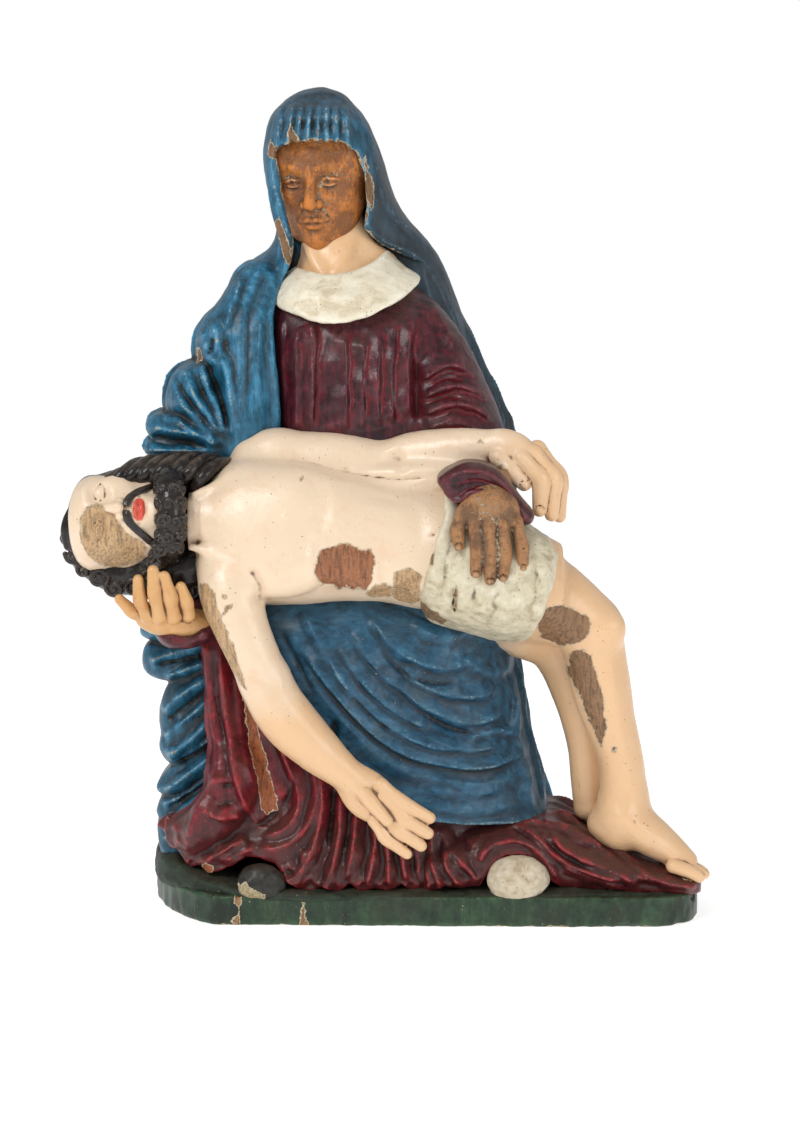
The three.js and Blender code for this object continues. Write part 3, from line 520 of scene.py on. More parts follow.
def aged_paint(name, deep, middle, light, worn, *, streaks=(1, 1, 0.16), gloss=0.42, coat=0.15, wear=0.5,
               dirt_and_shade=0.8, grime=0.4, dust=0.0, chips=0.0, bare=None, ridge_rub_and_highlight=None, cleft=DIRT_AND_SHADE, specks=0.12,
               flakes=0.0, soiled_and_shaded=False, brush_relief=0.3, shine=0.3, polish=0.25):
    """Old oil paint on wood: brush streaks, rubbed ridges partly painted highlight, dirt and painted shade in
    the cuts, dust, chips to chalk and wood.

    cleft is the colour down in the folds, under the dirt and painted shade. soiled adds dirt, and on the
    mantle painted shade.
    """
    f = Finish(name)
    hollow, nick = f.written("hollow"), f.written("nick")
    clouds, fine, mottle = f.noise(30, 3.0), f.noise(1.7, 3.0), f.noise(6, 5.0, None, 0.7)
    brush = f.noise(6, 4.0, streaks, 0.68, 0.5)
    # The tone is random brush and clouds, plus painted shade and light: darker in the hollows, lighter on the
    # ridges.
    tone = brush * 0.45 + clouds * 0.3 + mottle * 0.25 + (0.5 - hollow) * 0.5
    colour = f.mix(deep, middle, tone.rise(0.4, 0.52))
    colour = f.mix(colour, light, tone.rise(0.5, 0.65))
    stain_and_shade = (clouds * 0.5 + f.noise(11, 4.0, streaks, 0.7) * 0.5).rise(0.47, 0.62) * grime
    # The noted amount adds dirt, and on the mantle's right side painted shade, to the stains and the dust.
    more_dirt_and_shade = f.written("soiled_and_shaded") if soiled_and_shaded else 0.0
    if soiled_and_shaded:
        stain_and_shade = stain_and_shade.most((more_dirt_and_shade * 0.6 + mottle * 0.5).rise(0.5, 1.1) * 0.8)
    colour = f.mix(colour, DIRT_AND_SHADE, stain_and_shade)
    if dust:
        settled = f.written("up") * 0.4 + (clouds + mottle) * 0.5 + (hollow - 0.5) * 0.5 + more_dirt_and_shade * 0.3
        colour = f.mix(colour, DUST, settled.rise(0.6, 0.95) * dust)
    # Painted highlight: a brighter colour along the sharp ridges, where the paint is also rubbed clean.
    if ridge_rub_and_highlight:
        colour = f.mix(colour, ridge_rub_and_highlight, ((0.5 - nick) * 1.7 + mottle * 1.3).rise(0.68, 1.05) * 0.8)
    # The sharp ridges take the worn colour: rubbed wear, and on the dark paints, whose worn colour is paler,
    # a painted highlight.
    rubbed = ((0.5 - nick) * 1.9 + f.noise(3, 5.0, None, 0.8) * 1.3).rise(0.9, 1.05) * wear
    colour = f.mix(colour, worn, rubbed)
    # Dirt and painted shade in the hollows and cuts: the cleft colour first, then near black deeper in.
    silt_and_shade = (hollow - 0.5) * 2.6 + (nick - 0.5) * 2.0 + mottle * 0.9
    colour = f.mix(colour, cleft, silt_and_shade.rise(0.5, 0.85) * 0.8)
    silt_and_shade = silt_and_shade.rise(0.72, 1.3)
    colour = f.mix(colour, DIRT_AND_SHADE, silt_and_shade * dirt_and_shade)
    if flakes:
        colour = f.mix(colour, CHALK, (f.pits(7, 0.5, flakes).most(f.pits(3.4, 0.3, flakes))) * 0.75)
    flecks = f.pits(3.6, 0.5, specks)
    colour = f.mix(colour, DIRT_AND_SHADE, flecks * 0.8)
    height = brush * brush_relief + fine * 0.16 + mottle * 0.25 - flecks * 0.3
    rough = gloss + silt_and_shade * 0.3 + rubbed * 0.16 + (mottle - 0.5) * 0.35
    lost = inside = None
    if chips:
        loss = (0.5 - nick) * 1.8 + f.noise(6.5, 5.0, None, 0.75)
        lost, inside = loss.rise(1.0 - chips, 1.015 - chips), loss.rise(1.045 - chips, 1.07 - chips)
    if bare:
        patch, core = f.edges("bare")
        lost = patch if lost is None else lost.most(patch)
        inside = core if inside is None else inside.most(core)
    if lost is not None:
        colour, rough, height = f.uncover(colour, rough, height, lost, inside, f.grained(bare or TAN_WOOD))
    return f.close(colour, rough, height, coat, polish, shine)


def dress(piece, material):
    piece.data.materials.clear()
    piece.data.materials.append(material)


def bend(a, b, c, d, steps=8):
    """A corner of the sawn outline, as a Bezier curve."""
    t = np.linspace(0, 1, steps, endpoint=False)[:, None]
    a, b, c, d = (np.array(p, float) for p in (a, b, c, d))
    return (1 - t) ** 3 * a + 3 * t * (1 - t) ** 2 * b + 3 * t * t * (1 - t) * c + t**3 * d


def board_outline():
    left, right, front, back = BOARD_LEFT, BOARD_RIGHT, BOARD_FRONT, BOARD_BACK
    return np.vstack([
        bend(
            (right - BOARD_CORNER, front), (right - 8, front + 4), (right, front + 22), (right, front + 52),
        ),
        bend((right, front + 52), (right - 2, front + 80), (right - 60, back), (right - 110, back)),
        bend((left * 0.62, back), (left * 0.94, back), (left, back - 40), (left, 0)),
        bend((left, 0), (left, front + 70), (left * 0.86, front + 14), (left * 0.62, front)),
    ])


board = Block((-178, -131, -26), (235, 112, 6), cell=1.3)
board.add(prism(board_outline(), 2, -BOARD_THICK, 0.0, 2.5))
# A crack is its place along the front edge, its width and how far back it runs.
cracks = [(-129, 2.0, -84), (-104, 6.0, -40), (-57, 6.5, -60), (66, 2.4, -50), (104, 1.6, -80)]
for x, wide, back in cracks:
    board.cut(limb([
        (x - 1, -135, -26, wide * 0.35), (x + 1, -126, -12, wide / 2), (x - 1, -126, 4, wide / 3),
    ]), 1)
    board.cut(limb([(x, -135, 2, wide / 2), (x + 1, -100, 1, wide / 3), (x + 3, back, 1, 0.4)]), 1)
chance = np.random.default_rng(5)
for x in chance.uniform(BOARD_LEFT + 40, BOARD_RIGHT, 34):
    size = chance.uniform(1, 3.4)
    board.cut(ball((x, BOARD_FRONT, -BOARD_THICK), (size * 2.4, size, size)), 1)
for x, y, z, size in [(224, -104, -2, 5), (222, -116, -12, 5), (216, -120, -22, 7), (-148, -100, -22, 6)]:
    board.cut(ball((x, y, z), size), 2)
board_piece, board_points = carved(board, "board", most=30000, touch=0.55)
crack_wood = [[(x - w, -24), (x - w * 0.4, -6), (x - w * 0.7, 3), (x + w, 3), (x + w * 0.5, -8), (x + w, -24)]
              for x, w in ((-105, 3.5), (-57, 3.2))]
bare_edge = np.where(board_points[:, 1] < -60, board_points[:, 2] + BOARD_THICK - 0.2, 30.0)
for outline in crack_wood:
    bare_edge = np.minimum(bare_edge, outline_distance(outline, board_points[:, 0], board_points[:, 2]))
note(board_piece, "bare", bare_edge)
dress(board_piece, aged_paint(
    "aged_green_paint", deep=(0.007, 0.015, 0.008), middle=(0.017, 0.04, 0.02), light=(0.042, 0.094, 0.044),
    worn=(0.16, 0.17, 0.11), streaks=(0.5, 0.5, 0.22), dirt_and_shade=0.9, grime=0.6, dust=0.4, chips=0.16,
    bare=(0.3, 0.17, 0.08), specks=0.2, flakes=0.3,
))


# The ground on the board: a low bank of the same log, left rough from the gouge and raised at the left end.
# It is painted dark green like the board's edge, and is nearly black from settled dirt.
def loft(rows, power, axis=2, round_ends=3.0):
    """A body through rounded boxes. A row is its place on the axis, then the two lows and highs across it."""
    line = curve(sorted(rows), 8)
    others = [i for i in range(3) if i != axis]
    at, low_u, high_u, low_v, high_v = line.T

    def distance(x, y, z):
        p = (x, y, z)
        place = p[axis]
        row = [np.interp(place, at, column) for column in (low_u, high_u, low_v, high_v)]
        half_u = np.maximum((row[1] - row[0]) / 2, 0.5)
        half_v = np.maximum((row[3] - row[2]) / 2, 0.5)
        u = np.abs(p[others[0]] - (row[0] + row[1]) / 2) / half_u
        v = np.abs(p[others[1]] - (row[2] + row[3]) / 2) / half_v
        d = ((u**power + v**power) ** (1 / power) - 1) * np.minimum(half_u, half_v)
        d = -soft_min(-d, place - at[0], round_ends)
        return -soft_min(-d, at[-1] - place, round_ends)

    low, high = np.zeros(3), np.zeros(3)
    low[axis], high[axis] = at[0], at[-1]
    for i, (a, b) in zip(others, ((low_u, high_u), (low_v, high_v))):
        low[i], high[i] = a.min(), b.max()
    return Form(low, high, distance)


ground_rows = [
    (-171, -40, 40, -8, 14), (-164, -70, 70, -8, 22), (-152, -88, 90, -8, 22), (-138, -100, 96, -8, 17),
    (-120, -110, 98, -8, 12), (-100, -118, 100, -8, 8), (-70, -120, 100, -8, 6), (-20, -121, 100, -8, 4),
    (60, -121, 100, -8, 4), (110, -121, 96, -8, 5), (150, -120, 80, -8, 4), (200, -117, 20, -8, 3),
    (226, -106, -50, -8, 2),
]
ground = Block((-176, -128, -10), (234, 106, 30), cell=1.6)
ground.add(loft(ground_rows, power=3.4, axis=0, round_ends=6))
for x, back in ((-129, -60), (-104, -70)):
    ground.cut(limb([(x, -126, 12, 1.6), (x + 2, -104, 16, 1.2), (x + 5, back, 22, 0.6)]), 1)
ground_piece, _ = carved(ground, "ground", most=18000, touch=1.2)
dress(ground_piece, aged_paint(
    "dirty_ground", deep=(0.008, 0.013, 0.008), middle=(0.017, 0.028, 0.017), light=(0.03, 0.05, 0.03),
    worn=(0.08, 0.07, 0.045), streaks=(0.6, 0.6, 1), dirt_and_shade=0.95, grime=0.6, dust=0.35, gloss=0.6, coat=0.0,
    specks=0.3, flakes=0.3,
))

# Two stones that lie on the ground by the hem, carved with it: one painted off-white and split by a crack,
# one black with a worn patch of cream.
white_stone = Block((66, -138, -8), (126, -84, 44), cell=1.0)
white_stone.add(ball((98, -113, 12), (21, 14, 17), (0, 6, 0)))
white_stone.add(ball((88, -113, 10), (13, 12, 14), (0, -10, 0)), 6)
white_stone.cut(limb([
    (97, -127, 27, 1.2), (101, -127, 20, 1.7), (102, -127, 15, 1.2), (108, -127, 6, 1.6),
]), 0.6)
white_stone_piece, _ = carved(white_stone, "white_stone", most=10000, touch=0.9)
dress(white_stone_piece, aged_paint(
    "stone_white_paint", deep=(0.4, 0.31, 0.2), middle=(0.54, 0.46, 0.33), light=(0.66, 0.58, 0.46),
    worn=(0.34, 0.22, 0.12), streaks=(1, 1, 1), gloss=0.5, dirt_and_shade=0.85, grime=0.12, wear=0.7, specks=0.3,
))

black_stone = Block((-116, -134, -6), (-62, -92, 32), cell=1.0)
black_stone.add(ball((-87, -113, 9), (17, 12, 13), (0, 10, 0)))
black_stone.add(ball((-95, -113, 6), (10, 10, 8)), 5)
black_stone_piece, stone_points = carved(black_stone, "black_stone", most=8000, touch=0.9)
cream_patch = [(-103, 1), (-104, 8), (-98, 10), (-92, 6), (-84, 3), (-84, -2), (-96, -4)]
note(black_stone_piece, "bare", outline_distance(cream_patch, stone_points[:, 0], stone_points[:, 2]))
dress(black_stone_piece, aged_paint(
    "stone_black_paint", deep=(0.006, 0.006, 0.005), middle=(0.012, 0.012, 0.01), light=(0.03, 0.03, 0.024),
    worn=(0.1, 0.08, 0.06), streaks=(1, 1, 1), gloss=0.5, dust=0.25, wear=0.4, bare=(0.42, 0.34, 0.2),
))


# The red robe: the seated figure's lap and legs under her cloak, with the skirt spread on the ground round
# her and drawn out to the right as a train under the son's feet. It is painted crimson, and the folds are
# cut deep.
class Sketch:
    """Folds drawn on a flat view of a block, as heights in mm."""

    def __init__(self, block, axes):
        n = [block.d.shape[i] for i in axes]
        self.u = (block.low[axes[0]] + np.arange(n[0]) * block.cell)[:, None]
        self.v = (block.low[axes[1]] + np.arange(n[1]) * block.cell)[None, :]
        self.height = np.zeros(n)

    def along(self, path, wide, steep, fade):
        """Where the sketch is near a path, how far off in widths, its ends' fade, and the way along it."""
        line = curve(path, 5)[:, :2]
        low, top = line.min(0) - 3 * wide, line.max(0) + 3 * wide
        rows = slice(*np.searchsorted(self.u[:, 0], (low[0], top[0])))
        columns = slice(*np.searchsorted(self.v[0], (low[1], top[1])))
        u, v = self.u[rows], self.v[:, columns]
        best = np.full(np.broadcast(u, v).shape, 1e9)
        side, along = np.zeros(best.shape), np.zeros(best.shape)
        for i, (a, b) in enumerate(zip(line, line[1:])):
            du, dv = b - a
            t = np.clip(((u - a[0]) * du + (v - a[1]) * dv) / max(du * du + dv * dv, 1e-6), 0, 1)
            x, y = u - a[0] - t * du, v - a[1] - t * dv
            r = x * x + y * y
            closer = r < best
            best = np.where(closer, r, best)
            side = np.where(closer, du * y - dv * x, side)
            along = np.where(closer, (i + t) / (len(line) - 1), along)
        away = np.sqrt(best) / np.where(side > 0, wide, wide * steep)
        return (rows, columns), away, ease(along / fade) * ease((1 - along) / fade), along

    def fold(self, path, high, wide, steep=1.0, fade=0.2, crisp=0.75):
        """A fold with a crease at its foot, or a V cut where high is below zero.

        steep narrows its right side, and crisp goes from 0 for a round back to 1 for a sharp one.
        """
        where, away, ends, along = self.along(path, wide * 1.4, steep, fade)
        ends = ends * (1 + 0.18 * np.sin(along * 11 + path[0][0]) + 0.1 * np.sin(along * 23 + path[0][1]))
        old = self.height[where]
        if high < 0:
            self.height[where] = old + high * np.exp(-1.6 * away) * ends
        else:
            away = np.clip(away * (1 + 0.15 * np.sin(along * 17 + path[0][1])), 0, 1)
            new = high * ((1 - crisp) * (1 - away**2) + crisp * (1 - away) ** 1.6) * ends
            self.height[where] = np.maximum(old, new) + 0.5 * np.minimum(np.maximum(old, 0), new)
        return self

    def swell(self, path, high, wide, steep=1.0, fade=0.2):
        """A soft rise along a path, or a soft dip where high is below zero."""
        where, away, ends, _ = self.along(path, wide, steep, fade)
        self.height[where] += high * np.exp(-(away**2)) * ends
        return self


def spread(points, outlines, before=1e9):
    """Distance to the nearest of some outlines drawn on the front view; far away behind the depth given."""
    near = np.full(len(points), 30.0)
    for outline in outlines:
        near = np.minimum(near, outline_distance(outline, points[:, 0], points[:, 2]))
    return np.where(points[:, 1] < before, near, 30.0)


robe_rows = [
    (212, -100, 76, -50, 60), (200, -112, 84, -76, 60), (180, -120, 90, -90, 60), (160, -124, 94, -97, 60),
    (120, -124, 95, -99, 60), (88, -124, 92, -98, 60), (64, -132, 90, -101, 60), (45, -146, 88, -104, 60),
    (30, -157, 84, -108, 60), (14, -160, 80, -111, 60), (-16, -156, 78, -113, 60),
]
train_rows = [
    (30, -115, 50, -8, 34), (62, -114, 48, -8, 42), (90, -113, 44, -8, 48), (122, -112, 32, -8, 49),
    (145, -111, 24, -8, 40), (159, -112, 16, -8, 33), (180, -113, 4, -8, 24), (200, -114, -8, -8, 18),
    (218, -112, -26, -8, 14), (230, -104, -48, -8, 10),
]
hem_line = [
    (-172, 44), (-160, 38), (-155, 30), (-150, 29), (-145, 22), (-140, 15), (-133, 18), (-127, 12),
    (-120, 14), (-108, 20), (-99, 26), (-88, 26), (-78, 22), (-70, 12), (-62, 5), (-54, 1), (-44, 6),
    (-33, 1), (-24, 8), (-17, 2), (-7, 4), (4, 2), (14, 7), (19, 2), (36, 2), (44, 5), (55, 3), (64, 5),
    (70, 5), (74, 14), (80, 24), (88, 28), (98, 29), (108, 26), (116, 18), (121, 9), (130, 2), (150, 1),
    (166, 3), (180, 0), (200, 2), (222, -1), (240, -1),
]


def robe_folds(sketch):
    for path, high, wide, steep in [
        ([(-131, 188), (-129, 158), (-126, 130), (-122, 104), (-118, 86)], 4, 7, 0.5),
        ([(-119, 186), (-116, 150), (-112, 117), (-106, 85), (-96, 58), (-88, 43)], 5, 8, 0.4),
        ([(-108, 168), (-105, 140), (-101, 110), (-94, 80), (-87, 62)], 2.4, 6, 0.6),
        ([(-118, 92), (-126, 77), (-134, 62), (-140, 43), (-144, 18)], 8, 10, 0.6),
        ([(-130, 63), (-118, 57), (-100, 56)], 6, 6, 0.5), ([(-98, 40), (-116, 30), (-134, 18)], 8, 8, 0.5),
        ([(-160, 54), (-150, 44), (-151, 26)], 6, 7, 0.6), ([(-90, 34), (-104, 28), (-116, 22)], 4, 5, 0.6),
        ([(-98, 150), (-93, 122), (-82, 88), (-74, 62)], 3.4, 11, 1),
        ([(-82, 130), (-72, 98), (-63, 76), (-62, 60), (-72, 46), (-90, 40)], 7, 9, 0.4),
        ([(-60, 116), (-51, 90), (-49, 66), (-57, 46), (-74, 34), (-96, 32)], 8, 9, 0.5),
        ([(-46, 96), (-44, 66), (-50, 36), (-62, 14), (-76, 8)], 8, 8, 0.45),
        ([(-31, 76), (-32, 44), (-38, 16), (-46, 2)], 8, 8, 0.5),
        ([(-56, 34), (-60, 18), (-62, 4)], 5, 5, 0.7),
        ([(-18, 74), (-21, 42), (-27, 8)], 7, 7, 0.5),
        ([
            (60, 26), (68, 38), (80, 46), (96, 47), (112, 40), (124, 28), (140, 19), (160, 13), (180, 10),
        ], 9, 7, 0.5),
        ([(66, 18), (74, 32), (86, 38), (98, 38), (109, 33), (119, 21), (128, 6)], 6, 5, 0.6),
        ([(110, 64), (119, 47), (127, 35), (140, 27), (156, 21), (172, 14), (184, 5)], 8, 7, 0.5),
        ([(124, 52), (136, 40), (150, 35), (162, 31), (176, 23), (194, 13), (214, 6)], 7, 6, 0.5),
        ([(126, 22), (142, 14), (158, 9), (174, 4)], 5, 5, 0.7),
        ([(176, 16), (196, 10), (214, 7), (228, 4)], 5, 5, 0.7),
        ([(38, 46), (49, 31), (61, 19), (70, 8)], 6, 6, 0.6), ([(96, 56), (108, 50), (118, 40)], 5, 6, 0.6),
    ]:
        sketch.fold(path, high, wide, steep, 0.14)
    for x, top, low, lean in [
        (-8, 68, 3, -5), (3, 60, 3, 1), (14, 58, 4, 3), (25, 54, 3, 3), (36, 50, 3, 6), (47, 44, 4, 9),
    ]:
        sketch.fold([(x, top), (x - lean / 3, (top + low) / 2), (x + lean, low)], 8, 6.4, 0.45, 0.2)
    for path, high, wide in [
        ([(-113, 84), (-112, 72), (-111, 62)], -4, 6),
        ([(-62, 88), (-70, 64), (-82, 52), (-94, 45)], -4, 3.4),
        ([(-36, 80), (-38, 46), (-48, 18)], -5, 2.6),
        ([(-24, 70), (-26, 40), (-34, 10)], -4, 2.4),
        ([(134, 46), (150, 38), (168, 29), (188, 18), (208, 11)], -4, 2.6),
        ([(104, 48), (118, 37), (132, 26), (152, 17)], -5, 3), ([(58, 38), (64, 24), (68, 10)], -6, 3),
        ([(-123, 176), (-121, 140), (-112, 104), (-111, 84)], -3, 2.4),
        ([(84, 42), (98, 42), (110, 36)], -3, 2.4),
    ]:
        sketch.fold(path, high, wide, 1, 0.2)
    for x, z in [
        (-148, 34), (-138, 20), (-112, 24), (-68, 18), (-52, 10), (-36, 8), (-14, 8), (2, 8), (20, 7),
        (36, 7), (52, 8),
    ]:
        sketch.fold([(x - 7, z - 4), (x, z + 2), (x + 7, z - 5)], 3, 5, 0.6, 0.2)


robe = Block((-172, -132, -4), (238, 66, 236), cell=1.35)
robe.add(loft(robe_rows, power=3.0))
robe.add(loft(train_rows, power=3, axis=0), 6)
robe.add(limb([
    (-118, -68, 196, 13), (-118, -72, 170, 14), (-114, -76, 135, 14), (-110, -82, 106, 14),
    (-108, -92, 84, 15),
]), 9)
robe.add(limb([(-106, -90, 86, 16), (-116, -98, 62, 17), (-132, -92, 44, 16), (-147, -74, 36, 14)]), 12)
robe.cut(limb([(62, -128, 34, 1.4), (66, -126, 20, 1.6), (70, -126, 4, 1.2)]), 1)
front = Sketch(robe, (0, 2))
robe_folds(front)
robe.press(front, 1, -1)
side = Sketch(robe, (1, 2))
for y in (-84, -66, -46, -26, -6, 14, 34):
    side.fold([(y + 4, 150), (y, 90), (y - 5, 44), (y - 8, 4)], 5, 6, 0.6)
robe.press(side, 0, -1)
robe.press(side, 0, 1)
over = Sketch(robe, (0, 1))
for path in [
    [(120, -60), (140, -74), (164, -92), (190, -106)], [(96, -90), (118, -94), (146, -100), (176, -110)],
    [(120, -30), (150, -44), (180, -64), (210, -92)], [(118, 0), (150, -16), (186, -40), (214, -70)],
    [(-164, -10), (-150, -60), (-128, -96)], [(-168, 20), (-160, -30), (-150, -70)],
]:
    over.fold(path, 4, 5, 0.7)
robe.press(over, 2, 1)
hem_x, hem_z = np.array(hem_line).T
robe.keep(lambda x, y, z: np.interp(x, hem_x, hem_z) * ease((-y - 30) / 40) - 1 - z + 0 * y, 1.5)
robe_piece, robe_points = carved(robe, "red_robe", most=130000, touch=0.45)
worn_strip = [
    (-107, 164), (-104, 150), (-100, 126), (-94, 94), (-89, 68), (-88, 58), (-84, 55), (-80, 58), (-76, 57),
    (-76, 64), (-81, 82), (-87, 104), (-92, 122), (-98, 146), (-101, 158),
]
corner_chip = [(214, 12), (220, 18), (229, 16), (230, 6), (224, 8)]
small_chips = [[(-132, 14), (-128, 20), (-122, 18), (-124, 12)], corner_chip]
note(robe_piece, "bare", spread(robe_points, [worn_strip, *small_chips], -60))
note(robe_piece, "soiled_and_shaded", np.clip((92 - robe_points[:, 2]) / 50, 0, 1))
# The crimson gets a painted highlight along its sharp ridges, and more dirt and dust towards the ground.
dress(robe_piece, aged_paint(
    "aged_robe_paint", deep=(0.055, 0.003, 0.006), middle=(0.12, 0.008, 0.014), light=(0.19, 0.016, 0.022),
    worn=(0.24, 0.1, 0.085), ridge_rub_and_highlight=(0.3, 0.01, 0.018), cleft=(0.05, 0.002, 0.005), streaks=(1, 1, 0.14),
    gloss=0.36, coat=0.2, dust=0.26, grime=0.42, wear=0.35, bare=(0.33, 0.1, 0.035), soiled_and_shaded=True,
    flakes=0.15,
))


# The blue mantle: it goes over her head, down her back to the ground and forward over both shoulders, and
# its left half is gathered over her arm. The face opening is cut back so that its edge stands round the
# face. Paint has broken from that edge down to the wood.
mantle_rows = [
    (577, -52, -40, 2, 20), (572, -66, -29, -14, 34), (564, -76, -21, -29, 46), (554, -84, -13, -38, 54),
    (539, -88, -6, -42, 60), (520, -89, 1, -41, 66), (498, -85, 8, -35, 70), (480, -80, 19, -24, 74),
    (462, -84, 35, -14, 78), (446, -104, 45, -12, 84), (420, -122, 55, -12, 90), (382, -126, 70, -12, 94),
    (345, -126, 86, -12, 98), (319, -128, 96, -12, 100), (240, -136, 97, -12, 102),
    (159, -140, 97, -14, 104), (94, -146, 108, -20, 105), (44, -156, 124, -30, 105),
    (2, -164, 140, -40, 105),
]
mantle_side_rows = [
    (200, -150, -104, -42, 60), (160, -148, -104, -44, 60), (120, -144, -104, -46, 60),
    (80, -146, -104, -48, 60), (40, -150, -104, -52, 60), (5, -152, -104, -56, 60),
]
face_opening = [
    (-78.5, 530), (-74, 534), (-66, 536), (-54, 537), (-42, 538), (-30, 536), (-20, 529), (-14, 514),
    (-12, 492), (-14, 474), (-2, 462), (31, 447), (51, 413), (66, 375), (82, 336), (92, 300), (92, 286),
    (-74, 286), (-75, 333), (-76, 359), (-79, 384), (-81, 409), (-78, 427), (-68, 449), (-65, 465),
    (-70, 484), (-74, 506), (-77, 522),
]
# Cloth gathered over her arm and down her side, as seen from the front: outline, front, back and rounding.
elbow_cloth = [
    (-100, 436), (-124, 418), (-134, 406), (-138, 395), (-138, 380), (-131, 366), (-118, 346), (-96, 330),
]
sleeve_cloth = [
    (-112, 384), (-130, 380), (-146, 376), (-156, 366), (-160, 350), (-156, 336), (-136, 322), (-104, 312),
]
upper_roll = [
    (-110, 330), (-150, 339), (-164, 341), (-171, 336), (-171, 326), (-160, 319), (-130, 314), (-104, 312),
]
lower_roll = [(-110, 324), (-150, 324), (-168, 322), (-174, 317), (-170, 310), (-140, 306), (-104, 304)]
side_cloths = [
    ([
        (-116, 200), (-150, 196), (-174, 190), (-178, 180), (-168, 174), (-140, 168), (-112, 172),
    ], -66, -16, 16),
    ([
        (-116, 186), (-150, 176), (-172, 173), (-177, 164), (-174, 151), (-158, 145), (-132, 148),
        (-112, 156),
    ], -68, -16, 18),
    ([
        (-112, 166), (-134, 160), (-154, 148), (-163, 132), (-165, 118), (-161, 105), (-140, 108),
        (-112, 128),
    ], -68, -14, 20),
    ([
        (-108, 146), (-134, 134), (-156, 118), (-164, 104), (-164, 92), (-154, 83), (-134, 92), (-108, 110),
    ], -70, -14, 18),
    ([(-104, 122), (-130, 102), (-150, 88), (-166, 70), (-164, 62), (-144, 60), (-112, 82)], -70, -14, 16),
    ([(-108, 100), (-136, 78), (-158, 66), (-167, 52), (-164, 44), (-140, 40), (-110, 60)], -70, -16, 16),
    ([(-116, 76), (-146, 56), (-164, 46), (-167, 34), (-162, 14), (-140, 8), (-112, 20)], -70, -16, 16),
]


def shawl_folds(sketch):
    for path, high, wide, steep in [
        ([
            (-106, 318), (-104, 345), (-103, 373), (-102, 402), (-100, 424), (-94, 439), (-83, 452),
            (-71, 466),
        ], 3.6, 10, 0.6),
        ([(-93, 316), (-92, 345), (-91, 380), (-88, 410), (-82, 434), (-75, 450)], 3, 8, 0.6),
        ([(-75, 318), (-76, 350), (-79, 384), (-81, 409), (-78, 427), (-69, 449)], 4, 4, 0.8),
        ([(-110, 322), (-110, 350), (-114, 374), (-120, 390), (-124, 412)], 8, 8, 0.6),
        ([(-114, 324), (-119, 346), (-127, 364), (-132, 378)], 7, 6, 0.5),
        ([(-117, 326), (-130, 345), (-139, 361), (-146, 376)], 7, 8, 0.5),
        ([(-118, 319), (-132, 334), (-146, 350), (-156, 370)], 6, 8, 0.5),
        ([(-118, 318), (-138, 330), (-160, 346)], 5, 6, 0.5),
        ([(-118, 320), (-142, 328), (-170, 332)], 5, 6, 0.6),
        ([(-118, 315), (-140, 315), (-172, 315)], 4, 4, 0.8),
        ([(-109, 428), (-112, 410), (-110, 392)], 2.6, 8, 1),
        ([(-120, 374), (-129, 390), (-133, 402)], 5, 6, 0.6),
    ]:
        sketch.fold(path, high, wide, steep, 0.14)
    for path, high, wide in [
        ([(-112, 328), (-117, 348), (-124, 366), (-129, 380)], -12, 4.4),
        ([(-136, 374), (-130, 356), (-121, 338)], -4, 2.6),
        ([(-150, 366), (-139, 350), (-124, 332)], -4, 2.4),
        ([(-170, 327), (-154, 323), (-132, 320)], -5, 2.2),
        ([(-122, 402), (-124, 390), (-128, 382)], -5, 2.6), ([(-98, 424), (-98, 390), (-99, 350)], -2, 3),
    ]:
        sketch.fold(path, high, wide, 1, 0.2)


def cascade_folds(sketch):
    for path, high, wide in [
        ([(-126, 186), (-150, 183), (-175, 184)], 5, 6), ([(-126, 177), (-150, 170), (-173, 162)], 6, 7),
        ([(-124, 164), (-142, 157), (-160, 150)], 4, 6),
        ([(-123, 153), (-139, 144), (-154, 133), (-162, 123)], 7, 9),
        ([(-122, 139), (-138, 125), (-153, 113), (-162, 106)], 4.4, 5),
        ([(-121, 128), (-134, 112), (-148, 99), (-161, 93)], 6, 8),
        ([(-120, 110), (-134, 99), (-148, 90), (-156, 86)], 4, 5),
        ([(-119, 99), (-132, 88), (-148, 76), (-163, 66)], 7, 8),
        ([(-118, 86), (-134, 71), (-150, 61), (-164, 56)], 4.4, 5),
        ([(-122, 72), (-138, 60), (-152, 49), (-164, 43)], 6, 7),
        ([(-130, 56), (-146, 43), (-163, 29)], 5, 7),
    ]:
        sketch.fold(path, high, wide, 0.35, 0.12)
    for path in [
        [(-126, 168), (-144, 163), (-168, 159)], [(-122, 146), (-140, 132), (-160, 116)],
        [(-120, 104), (-138, 93), (-158, 84)], [(-118, 80), (-138, 66), (-160, 52)],
    ]:
        sketch.fold(path, -5, 3, 1, 0.16)


